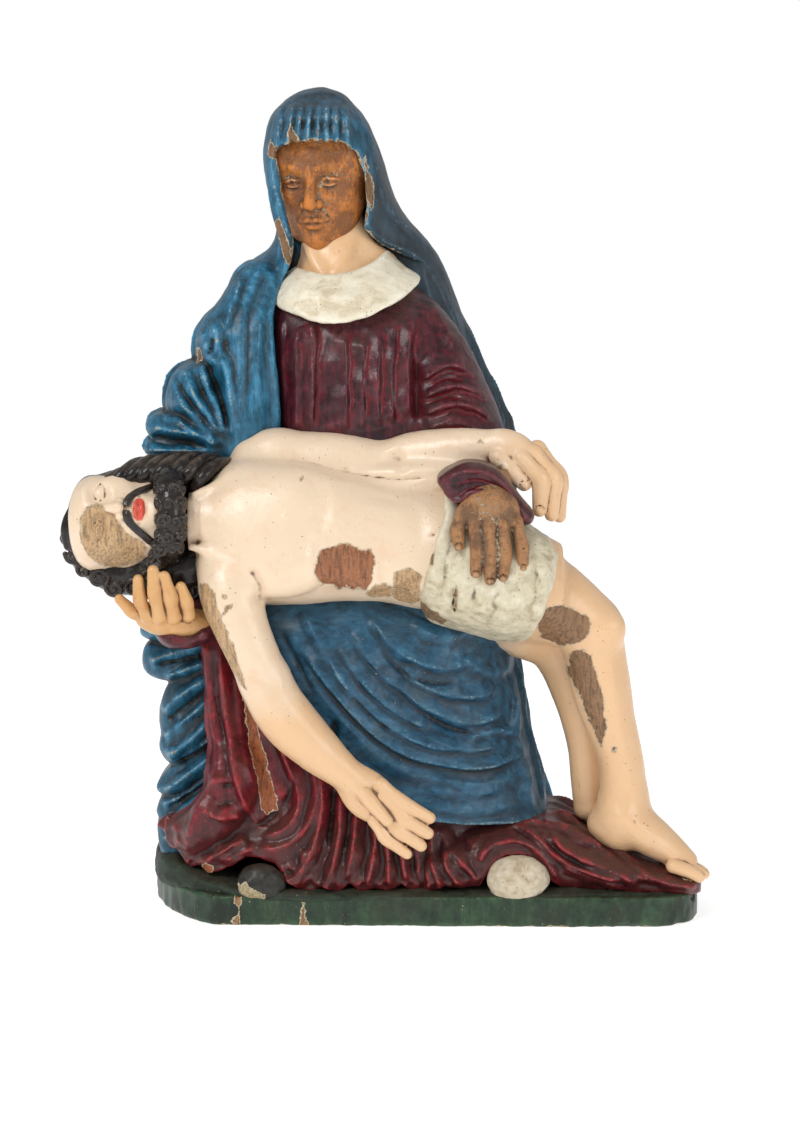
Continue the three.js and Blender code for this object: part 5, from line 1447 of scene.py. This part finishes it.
cuff_left.press(front, 1, -1)
cuff_left_piece, _ = carved(cuff_left, "left_cuff", most=10000, touch=0.35, hollow=4)
dress(cuff_left_piece, crimson)

cuff_right = Block((-170, -112, 158), (-92, -20, 234), cell=1.1)
cuff_right.add(limb([
    (-108, -52, 206, 23), (-126, -70, 198, 20), (-140, -84, 191, 17), (-150, -92, 189, 14),
]))
cuff_right.add(limb([
    (-164, -96, 192, 3.6), (-152, -106, 184, 4.4), (-138, -106, 182, 4.4), (-122, -98, 190, 4.4),
]), 3)
front = Sketch(cuff_right, (0, 2))
front.fold([(-158, 190), (-140, 184), (-124, 190), (-112, 202)], 3, 4)
front.fold([(-152, 181), (-134, 178), (-118, 186)], -3, 2)
front.fold([(-138, 200), (-128, 190), (-120, 176)], 3, 4)
front.fold([(-124, 212), (-116, 198), (-110, 180)], 3, 4)
cuff_right.press(front, 1, -1)
cuff_right_piece, _ = carved(cuff_right, "right_cuff", most=10000, touch=0.35, hollow=4)
dress(cuff_right_piece, crimson)


# The son's body: flesh-coloured oil paint, thick and glossy, over chalk ground. It lies on its back across
# her knees, turned to the front and tipped back by LEAN degrees, one arm hanging and one across his waist.
# Paint is lost at the wound in his side, below the ribs, on the upper arm and down the thigh and shin.
LEAN, LEAN_AT = -18.0, (-76.0, 252.0)


def leaned(form):
    c, s = math.cos(math.radians(LEAN)), math.sin(math.radians(LEAN))

    def distance(x, y, z):
        y, z = y - LEAN_AT[0], z - LEAN_AT[1]
        return form.distance(x + 0 * y, LEAN_AT[0] + c * y + s * z, LEAN_AT[1] - s * y + c * z)

    pad = np.array([0, 30, 24])
    return Form(form.low - pad, form.high + pad, distance)


trunk_rows = [
    (-126, -108, -52, 232, 292), (-112, -116, -40, 216, 306), (-92, -121, -34, 206, 311),
    (-60, -123, -32, 204, 308), (-31, -121, -32, 206, 303), (0, -117, -32, 206, 296),
    (19, -118, -32, 202, 293), (45, -120, -30, 198, 290), (83, -124, -30, 184, 268),
    (110, -120, -40, 182, 256), (128, -112, -55, 186, 246),
]
son = Block((-140, -150, 0), (244, -20, 344), cell=1.15)
son.add(leaned(loft(trunk_rows, power=2.2, axis=0)))
son.add(ball((-64, -94, 283), (34, 18, 24), (-30, 0, -4)), 8)
son.add(ball((-74, -112, 240), (34, 13, 25), (-12, 0, -6)), 8)
son.add(ball((40, -98, 242), (28, 25, 32)), 10)
son.add(ball((-10, -112, 250), (40, 10, 30), (-14, 0, 0)), 8)
son.add(limb([(-104, -82, 264, 25), (-118, -84, 266, 23), (-140, -84, 266, 21), (-156, -82, 266, 22)]), 8)
son.add(limb([(-136, -106, 250, 2.5), (-118, -110, 246, 3.5), (-106, -112, 242, 4)]), 5)
son.add(limb([(-134, -96, 286, 2.5), (-118, -92, 292, 3.5), (-104, -88, 298, 4)]), 5)
far_arm = [
    (-92, -54, 306, 20), (-78, -56, 310, 21), (-60, -58, 308, 20.5), (-36, -60, 307, 21),
    (-16, -62, 306, 18.5), (4, -62, 305, 15),
]
son.add(limb(far_arm), 8)
fore_arm = [
    (2, -62, 305, 15), (18, -66, 311, 16.5), (36, -70, 314, 17), (56, -78, 318, 14.5), (76, -84, 320, 12),
]
son.add(limb(fore_arm), 6)
son.add(limb([(-16, -76, 295, 10), (20, -82, 297, 12), (50, -86, 300, 11), (68, -88, 303, 8)]), 6)
near_arm = [
    (-110, -92, 236, 24), (-108, -104, 216, 22.5), (-102, -110, 197, 20), (-94, -114, 178, 18.5),
    (-84, -116, 156, 18),
]
son.add(limb(near_arm), 7)
son.add(limb([
    (-84, -116, 156, 18), (-76, -118, 140, 19.5), (-64, -119, 124, 19.5), (-48, -120, 108, 17),
    (-32, -121, 94, 13.5), (-18, -122, 83, 11.5),
]), 5)
son.add(limb([(90, -78, 214, 36), (110, -84, 212, 33), (132, -88, 202, 27), (148, -88, 190, 23)]), 6)
son.add(limb([
    (148, -88, 190, 23), (153, -86, 168, 22), (157, -86, 146, 21.5), (164, -86, 120, 18.5),
    (172, -86, 94, 16), (174, -86, 74, 17), (174, -86, 56, 20), (172, -86, 44, 19),
]), 5)
son.add(ball((160, -100, 190), (13, 12, 14)), 6)
far_leg = [
    (100, -56, 196, 32), (126, -52, 174, 23), (139, -50, 140, 17), (148, -52, 100, 13.5), (151, -55, 60, 12),
]
son.add(limb(far_leg), 6)
son.add(ball((162, -84, 45), (14, 13, 13)), 6)
instep = [(174, -86, 52, 19), (188, -89, 41, 17), (204, -92, 30, 13.5), (218, -94, 20, 9.5)]
son.add(limb(instep, (1, 1.2, 0.85)), 4)
for y, reach, thick in [(-110, 4, 5.0), (-102, 8, 4.8), (-94.5, 8, 4.6), (-87.5, 5, 4.4), (-81, 1, 4.2)]:
    toe = [(208, y + 2, 19, thick), (218, y, 16.5, thick), (223 + reach, y - 1, 12.5, thick * 0.94)]
    son.add(limb(toe), 2)
    son.cut(ball((226 + reach, y - 1.4, 15.6), (2.4, 2.6, 1.6)), 0.6)
son.add(limb([
    (152, -54, 50, 12), (172, -56, 38, 10.5), (190, -58, 27, 8.5), (200, -60, 22, 7),
], (1, 1.2, 0.8)), 4)
son.add(ball((178, -72, 58), (6, 4, 6)), 3)

far_hand = [
    ((82, -96, 313), (91, -100, 304), (100, -101, 294), 6.8),
    ((98, -98, 312), (112, -100, 297), (111, -100, 276), 7.0),
    ((107, -92, 315), (121, -95, 298), (120, -95, 272), 7.0),
    ((110, -84, 318), (126, -86, 297), (126, -87, 270), 6.6),
]
son.add(ball((94, -89, 316), (22, 12, 13.5), (0, 34, 0)), 5)
for i, (root, middle, tip, thick) in enumerate(far_hand):
    finger(son, root, middle, tip, thick, (0, -1, 0.1) if i < 2 else None, 1.4)
near_hand = [
    ((-2, -126, 82), (16, -126, 68), (33, -124, 58), 5.9),
    ((0, -127, 74), (15, -127, 58), (32, -125, 47), 5.9),
    ((-2, -127, 65), (11, -127, 50), (27, -125, 38), 5.8),
    ((-6, -126, 57), (2, -126, 44), (17, -124, 32), 5.4),
    ((-24, -127, 88), (-10, -133, 73), (3, -134, 58), 5.6),
]
son.add(ball((-11, -121, 74), (24, 9.5, 17), (0, 42, 0)), 5)
for i, (root, middle, tip, thick) in enumerate(near_hand):
    finger(son, root, middle, tip, thick, None, 1.4)

front = Sketch(son, (0, 2))
arm_crease = [(-81, 311), (-57, 308), (-31, 302), (-4, 298), (14, 297), (34, 299), (50, 304)]
front.fold(arm_crease, -2.6, 2.6, 1, 0.3)
front.swell([(-51, 312), (-47, 288), (-53, 262), (-69, 247), (-88, 240)], -1.8, 7)
front.swell([(-42, 297), (-40, 279), (-45, 258)], -1.2, 5)
for x, top, low in [
    (-49, 258, 214), (-40, 262, 212), (-31, 262, 212), (-22, 260, 212), (-13, 256, 212), (-4, 250, 214),
]:
    front.swell([(x, top), (x - 1, (top + low) / 2), (x + 3, low)], 1.5, 3.2, 1, 0.3)
for path, high, wide in [
    ([(-88, 208), (-87, 224), (-95, 238)], -3.5, 3.4),
    ([(-84, 206), (-60, 204), (-38, 206), (-15, 210)], -1.2, 5),
    ([(20, 286), (26, 262), (24, 236), (14, 216)], -1.2, 8),
    ([(-128, 250), (-112, 246), (-100, 244)], -1, 4),
    ([(-94, 170), (-84, 158), (-72, 154)], -1.4, 5), ([(6, 318), (12, 308), (16, 300)], -2, 4),
    ([(160, 176), (166, 140), (172, 104), (178, 70)], 1.4, 5),
    ([(166, 60), (186, 46), (204, 30), (218, 22)], 0.8, 4),
]:
    front.swell(path, high, wide)
front.swell([(35, 262), (36, 259)], -2.2, 1.8, 1, 0.5)
front.swell([(-70, 275), (-68, 272)], 1.4, 2.2, 1, 0.5)
for x in (-42, -36, -29, -22, -14):
    front.fold([(x, 248), (x - 1, 238), (x + 1, 228)], -1.6, 1.6, 1, 0.3)
front.fold([(131, 172), (140, 150), (147, 130)], -1.4, 1.4, 1, 0.3)
son.press(front, 1, -1)
son_piece, son_points = carved(son, "son_body", most=122000, touch=0.22, seed=7, hollow=4)
wound = [
    (-47, 244), (-42, 251), (-30, 254), (-22, 253), (-14, 250), (-8, 250), (-5, 244), (-7, 232), (-9, 225),
    (-12, 221), (-17, 225), (-21, 220), (-26, 224), (-31, 220), (-36, 225), (-44, 224), (-48, 235),
]
lost_paint = [
    wound, [(-7, 226), (2, 227), (7, 222), (4, 214), (-6, 212), (-12, 216)],
    [
        (7, 233), (12, 236), (19, 238), (25, 235), (28, 231), (26, 222), (26, 211), (20, 207), (10, 212),
        (6, 218), (9, 226),
    ],
    [
        (-131, 226), (-124, 225), (-118, 218), (-116, 208), (-110, 194), (-103, 176), (-98, 160), (-96, 150),
        (-102, 156), (-112, 172), (-122, 190), (-130, 208),
    ],
    [
        (112, 207), (118, 211), (124, 212), (134, 208), (145, 202), (148, 196), (146, 189), (140, 182),
        (128, 178), (112, 186), (108, 196),
    ],
    [
        (134, 174), (140, 178), (148, 172), (152, 160), (157, 143), (160, 119), (157, 104), (152, 112),
        (147, 126), (142, 138), (137, 148), (132, 160),
    ],
    [(163, 101), (167, 101), (167, 106), (164, 105)], [(179, 51), (181, 51), (181, 53), (179, 53)],
    [(66, 323), (71, 323), (70, 328)], [(80, 300), (84, 303), (84, 308), (79, 306)],
    [(-60, 297), (-57, 297), (-57, 300)],
    [(-113, 216), (-109, 216), (-110, 219), (-113, 219)],
    [(-113, 204), (-108, 206), (-106, 212), (-111, 211)],
]
note(son_piece, "bare", spread(son_points, lost_paint, -56))
reddish = 1 - ease(outline_distance(wound, son_points[:, 0], son_points[:, 2]) / 3 + 0.4)
note(son_piece, "bare_tone", np.maximum(reddish, (son_points[:, 0] > 100) * 2))
limbs_warm = np.clip((son_points[:, 0] - 60) / 60, 0, 1) + np.clip((170 - son_points[:, 2]) / 50, 0, 1)
note(son_piece, "warm", np.clip(limbs_warm, 0.08, 0.9))
dress(son_piece, skin_paint(
    "flesh_paint", pale=(0.78, 0.61, 0.44), warm=(0.74, 0.475, 0.265), ruddy=(0.75, 0.44, 0.25), soil_and_shade=0.65,
    patches=True, speckle=0.5,
))

# The loincloth: a thick white cloth wound round his hips, rough from the gouge, over the body. Its lower
# left edge has lost paint down to chalk and wood.
loincloth_rows = [
    (26, -124, -28, 198, 296), (36, -129, -26, 190, 299), (60, -131, -26, 184, 287),
    (83, -131, -26, 179, 271), (108, -129, -32, 178, 259), (122, -123, -46, 184, 250),
    (129, -118, -54, 189, 245),
]
cloth_outline = [
    (33, 304), (41, 294), (44, 285), (43, 272), (38, 259), (34, 246), (30, 232), (27, 218), (25, 206),
    (30, 199), (42, 189), (61, 184), (81, 178), (99, 177), (107, 190), (113, 206), (119, 226), (124, 245),
    (118, 256), (108, 262), (100, 272), (80, 310),
]
loincloth = Block((18, -148, 166), (134, -16, 314), cell=1.25)
loincloth.add(leaned(loft(loincloth_rows, power=2.3, axis=0)))
front = Sketch(loincloth, (0, 2))
for path, high, wide in [
    ([(36, 298), (46, 284), (44, 268), (38, 250), (35, 232), (30, 210)], 3, 6),
    ([(54, 278), (49, 258), (45, 236), (42, 210)], -2, 3),
    ([(62, 262), (57, 240), (55, 214), (58, 194)], 2, 7), ([(72, 230), (68, 208), (66, 190)], 1.6, 6),
    ([(92, 226), (86, 206), (82, 184)], 2.2, 8), ([(104, 240), (104, 216), (98, 192)], -1.6, 3),
    ([(111, 248), (113, 226), (107, 200)], 2.4, 5),
    ([(34, 206), (56, 198), (84, 192), (102, 194)], 1.6, 5),
    ([(40, 198), (60, 191), (84, 186), (100, 187)], -1.6, 2.4),
]:
    front.fold(path, high, wide, 0.8, 0.2, 0.1)
front.fold([(52, 228), (50, 214), (51, 204)], -5, 1.4, 1, 0.3)
loincloth.press(front, 1, -1)
loincloth.keep(lambda x, y, z: outline_distance(cloth_outline, x, z) + 0 * y, 3)
loincloth_piece, loincloth_points = carved(loincloth, "son_loincloth", most=34000, touch=0.7, seed=9)
cloth_losses = [
    [(24, 214), (30, 212), (40, 205), (48, 198), (42, 192), (30, 198), (24, 204)],
    [(49, 225), (53, 226), (53, 208), (49, 208)],
    [(33, 250), (37, 250), (36, 240), (32, 240)], [(60, 186), (66, 188), (70, 182), (62, 181)],
]
note(loincloth_piece, "bare", spread(loincloth_points, cloth_losses, -70) + 1.0)
dress(loincloth_piece, aged_paint(
    "loincloth_white_paint", deep=(0.42, 0.35, 0.22), middle=(0.61, 0.545, 0.39), light=(0.74, 0.68, 0.53),
    worn=(0.42, 0.3, 0.17), streaks=(0.6, 1, 0.6), gloss=0.42, dirt_and_shade=0.9, grime=0.12, wear=0.5, specks=0.3,
    chips=0.1, bare=(0.26, 0.17, 0.09), brush_relief=0.5,
))


# His head: crown to the left, face to the front and a little up, eyes closed. Its paint is gone at nose and
# cheek.
son_axes = Axes((-200, -80, 265), (0, 0.36, 0.93), (0.06, 0.93, -0.36), 1.0)
head = Block((-42, -50, -54), (42, 30, 50), cell=0.75)
carve_face(head, 1, 1.0)
head.keep(lambda x, y, z: z - 24 + 0 * x + 0 * y, 18)
for rise in (14, 19):
    head.cut(limb([(-8, -31, rise, 0.4), (4, -33, rise + 1, 0.6), (16, -29, rise, 0.4)]), 1)
head_piece, head_points = carved(
    head, "son_face", most=44000, touch=0.16, seed=11, place=son_axes.out, hollow=3,
)
worn_side = [
    (-213, 272), (-208, 279), (-202, 282), (-196, 279), (-190, 275), (-186, 268), (-181, 262), (-173, 256),
    (-166, 249), (-172, 241), (-182, 236), (-192, 234), (-203, 237), (-211, 246), (-214, 260),
]
own = son_axes.back(head_points)
mouth = np.sqrt((own[:, 0] / 9.5) ** 2 + ((own[:, 2] + 30.2) / 4.6) ** 2 + ((own[:, 1] + 35) / 6) ** 2)
note(head_piece, "lips", 1 - ease(mouth - 0.5))
note(head_piece, "bare", spread(head_points, [worn_side]))
note(head_piece, "bare_tone", 0 * mouth)
note(head_piece, "warm", 0 * mouth + 0.12)
dress(head_piece, skin_paint(
    "face_flesh_paint", pale=(0.78, 0.61, 0.44), warm=(0.74, 0.475, 0.265), ruddy=(0.78, 0.47, 0.28),
    patches=True, lips=True,
))


# His hair: glossy black locks, laid in a slanting row along the top of the head and behind the shoulder, and
# curled round the crown and below. Dust has dulled the top.
def curl(block, centre, towards, size, thick, turn, rounds=1.15):
    """A snail curl that lies on a surface facing a direction, its strand thinner to the middle."""
    n = np.array(towards, float) / np.linalg.norm(towards)
    a = np.cross(n, (0.3, 0.2, 1))
    a /= np.linalg.norm(a)
    b = np.cross(n, a)
    t = np.linspace(0, 1, int(9 * rounds))
    angle, r = turn + t * 2 * math.pi * rounds, size * (1 - 0.85 * t)
    flat = r[:, None] * (np.cos(angle)[:, None] * a + np.sin(angle)[:, None] * b)
    points = np.array(centre) + flat + (t * thick)[:, None] * n
    block.add(limb(np.column_stack([points, thick * (1 - 0.3 * t)]), steps=2), 0.3)
    block.add(ball(np.array(centre) - n * thick * 1.7, size * 0.8), 0.4)


hair = Block((-238, -110, 196), (-88, -14, 326), cell=1.0)
hair.add(ball((-192, -58, 258), (34, 34, 38)))
hair.add(ball((-212, -60, 262), (17, 29, 35)), 6)
hair.add(limb([(-196, -58, 262, 30), (-150, -52, 262, 32), (-112, -44, 276, 26)]), 8)
hair.add(limb([
    (-212, -72, 238, 13), (-196, -76, 228, 14), (-176, -78, 228, 17), (-150, -78, 230, 19),
    (-130, -74, 236, 20),
]), 8)
hair.add(limb([
    (-212, -60, 276, 10), (-198, -60, 288, 11), (-176, -62, 293, 12), (-146, -62, 296, 12),
    (-112, -58, 298, 11),
]), 6)
lock_roots = [
    (-223, 276), (-215, 283), (-207, 289), (-197, 293), (-188, 295), (-178, 296), (-168, 297), (-158, 297),
    (-148, 296), (-138, 293),
]
lock = np.array([
    (0, -84, -3, 2.4), (4, -90, 0, 4.0), (9, -92, 5, 4.7), (14, -88, 10, 4.8), (20, -79, 14, 4.4),
    (27, -64, 14, 3.4), (33, -48, 9, 2.4),
])
for i, (x, z) in enumerate(lock_roots):
    lift = 0.5 + 0.5 * min(i / 3, 1)
    hair.add(limb(lock * (1, 1, lift, 1) + (x, 0.8 * (i % 2), z, 0), steps=3), 0.2)
# Three strands round the crown join the row above to the curls below.
for reach, thick in ((0, 3.4), (4.5, 3.2), (9, 3)):
    crown = [(-226, 248), (-228, 258), (-226, 268), (-220, 278), (-212, 286)]
    hair.add(limb([(x + reach * 0.9, -84 - reach * 0.5, z - reach * 0.25, thick) for x, z in crown]), 0.3)
for x, y, z, size in [
    (-227, -76, 252, 5.4), (-223, -80, 241, 6.2), (-215, -84, 231, 6.6), (-204, -87, 225, 7.4),
    (-192, -90, 219, 7.6), (-179, -92, 219, 7.4), (-168, -94, 226, 7), (-165, -90, 215, 6.6),
    (-153, -92, 222, 7.6), (-140, -90, 230, 7.4), (-138, -88, 217, 6.6), (-129, -84, 236, 6),
    (-152, -92, 236, 6.4), (-180, -91, 231, 6),
]:
    curl(hair, (x, y, z), (0.2 * (x + 178) / 40, -1, -0.2), size, 2.1, x * 1.7 + z, 1.4)
hair_piece, _ = carved(hair, "son_hair", most=80000, touch=0.12, seed=13, hollow=3)
BLACK = dict(
    deep=(0.006, 0.004, 0.004), middle=(0.014, 0.01, 0.009), light=(0.036, 0.027, 0.022),
    worn=(0.17, 0.13, 0.1),
)
dress(hair_piece, aged_paint(
    "glossy_black_paint", **BLACK, streaks=(1, 1, 1), gloss=0.26, coat=0.35, dust=1.0, wear=0.75, specks=0.2,
    flakes=0.1, shine=0.2, polish=0.12,
))

# His beard: one band of snail curls round the jaw, with a long moustache that runs into it at both sides.
beard = Block((-212, -140, 218), (-124, -62, 316), cell=0.8)
beard_path = [
    (-155, -84, 300, 9), (-152, -101, 294, 9.6), (-150, -110, 282, 10), (-150, -113, 266, 10),
    (-152, -109, 251, 9.6), (-159, -98, 241, 9.4), (-168, -86, 236, 8),
]
beard.add(limb(beard_path))
line = curve(beard_path, 3)
for i, (x, y, z, r) in enumerate(line[::2]):
    for k, lane in enumerate((-74, -26, 22, 70)):
        a = math.radians(lane + (i % 2) * 24)
        way = np.array([math.sin(a), -math.cos(a), 0.15 * math.sin(i)])
        curl(beard, np.array([x, y, z]) + way * r * 0.95, way, 5, 1.6, i * 1.9 + k * 2.3, 1.35)
moustache = np.array([
    (1.6, -36.2, -21.4, 1.6), (5.5, -35.4, -22, 2.4), (10, -32.6, -24, 2.8), (15, -28.6, -29.5, 3),
    (19.5, -22, -35.5, 3.2), (25, -12, -40.5, 3.4),
])
for flip in (-1, 1):
    for lift in (-1.9, 0, 1.9):
        strand = moustache * (flip, 1, 1, 0.52) + (0, -0.2 - 0.5 * (lift == 0), lift, 0)
        strand[:, :3] = son_axes.out(strand[:, :3])
        beard.add(limb(strand), 0.5)
beard_piece, _ = carved(beard, "son_beard", most=50000, touch=0.1, seed=15, hollow=2.4)
dress(beard_piece, aged_paint(
    "beard_black_paint", **BLACK, streaks=(1, 1, 1), gloss=0.2, coat=0.45, wear=0.3, dust=0.1, specks=0.2,
    shine=0.2, polish=0.1,
))


# Camera, light and floor: the photograph's eye level and distance, an even white studio, and one soft lamp
# that leads from the upper left.
def look_from(place, target, lens):
    camera = bpy.data.objects.new("camera", bpy.data.cameras.new("camera"))
    bpy.context.scene.collection.objects.link(camera)
    camera.location = place
    away = np.array(target) - np.array(place)
    camera.rotation_euler = (
        math.atan2(away[2], math.hypot(away[0], away[1])) + math.pi / 2, 0, -math.atan2(away[0], away[1])
    )
    camera.data.sensor_fit = "VERTICAL"
    camera.data.sensor_height = camera.data.sensor_width = SENSOR
    camera.data.lens = lens
    bpy.context.scene.camera = camera


SENSOR, LENS = 36, 86.16
EYE_DISTANCE, EYE_RISE, AIM = 2.0, 0.252, (0.0095, 0.0175, 0.248)
look_from((AIM[0], AIM[1] - EYE_DISTANCE, AIM[2] + EYE_RISE), AIM, LENS)


def lamp(name, place, aim, size, power):
    data = bpy.data.lights.new(name, "AREA")
    data.shape, data.size, data.energy = "DISK", size, power
    light = bpy.data.objects.new(name, data)
    light.location = place
    away = np.array(place) - np.array(aim)
    light.rotation_euler = (
        math.atan2(math.hypot(away[0], away[1]), away[2]), 0, math.atan2(away[0], -away[1]),
    )
    bpy.context.scene.collection.objects.link(light)


MIDDLE = (0, 0, 0.3)
lamp("key", (-1.3, -1.6, 1.9), MIDDLE, size=1.1, power=30)
lamp("fill", (1.7, -1.7, 1.0), MIDDLE, size=1.2, power=12)
ROOM_LIGHT, PAPER_GLOW = 0.5, 0.58
world = bpy.data.worlds.new("studio")
bpy.context.scene.world = world
world.use_nodes = True
# The backdrop shows white, and gives the group less light than it shows.
nodes, links = world.node_tree.nodes, world.node_tree.links
room, backdrop = nodes["Background"], nodes.new("ShaderNodeBackground")
seen, either = nodes.new("ShaderNodeLightPath"), nodes.new("ShaderNodeMixShader")
room.inputs["Color"].default_value = backdrop.inputs["Color"].default_value = (1, 1, 1, 1)
room.inputs["Strength"].default_value = ROOM_LIGHT
links.new(seen.outputs["Is Camera Ray"], either.inputs[0])
links.new(room.outputs[0], either.inputs[1])
links.new(backdrop.outputs[0], either.inputs[2])
links.new(either.outputs[0], nodes["World Output"].inputs["Surface"])

FLOOR_REACH = 6.0
floor_corners = np.array([(-1, -1, 0), (1, -1, 0), (1, 1, 0), (-1, 1, 0)]) * FLOOR_REACH
floor_mesh = mesh_from("floor", floor_corners, np.array([(0, 1, 2, 3)]))
floor = bpy.data.objects.new("floor", floor_mesh)
bpy.context.scene.collection.objects.link(floor)
paper = Finish("white_paper")
floor_mesh.materials.append(paper.close((0.9, 0.9, 0.9, 1.0), rough=0.9, height=0.0))
glow = floor_mesh.materials[0].node_tree.nodes["Principled BSDF"].inputs
glow["Emission Color"].default_value, glow["Emission Strength"].default_value = (1, 1, 1, 1), PAPER_GLOW

bpy.context.scene.view_settings.view_transform = "Standard"
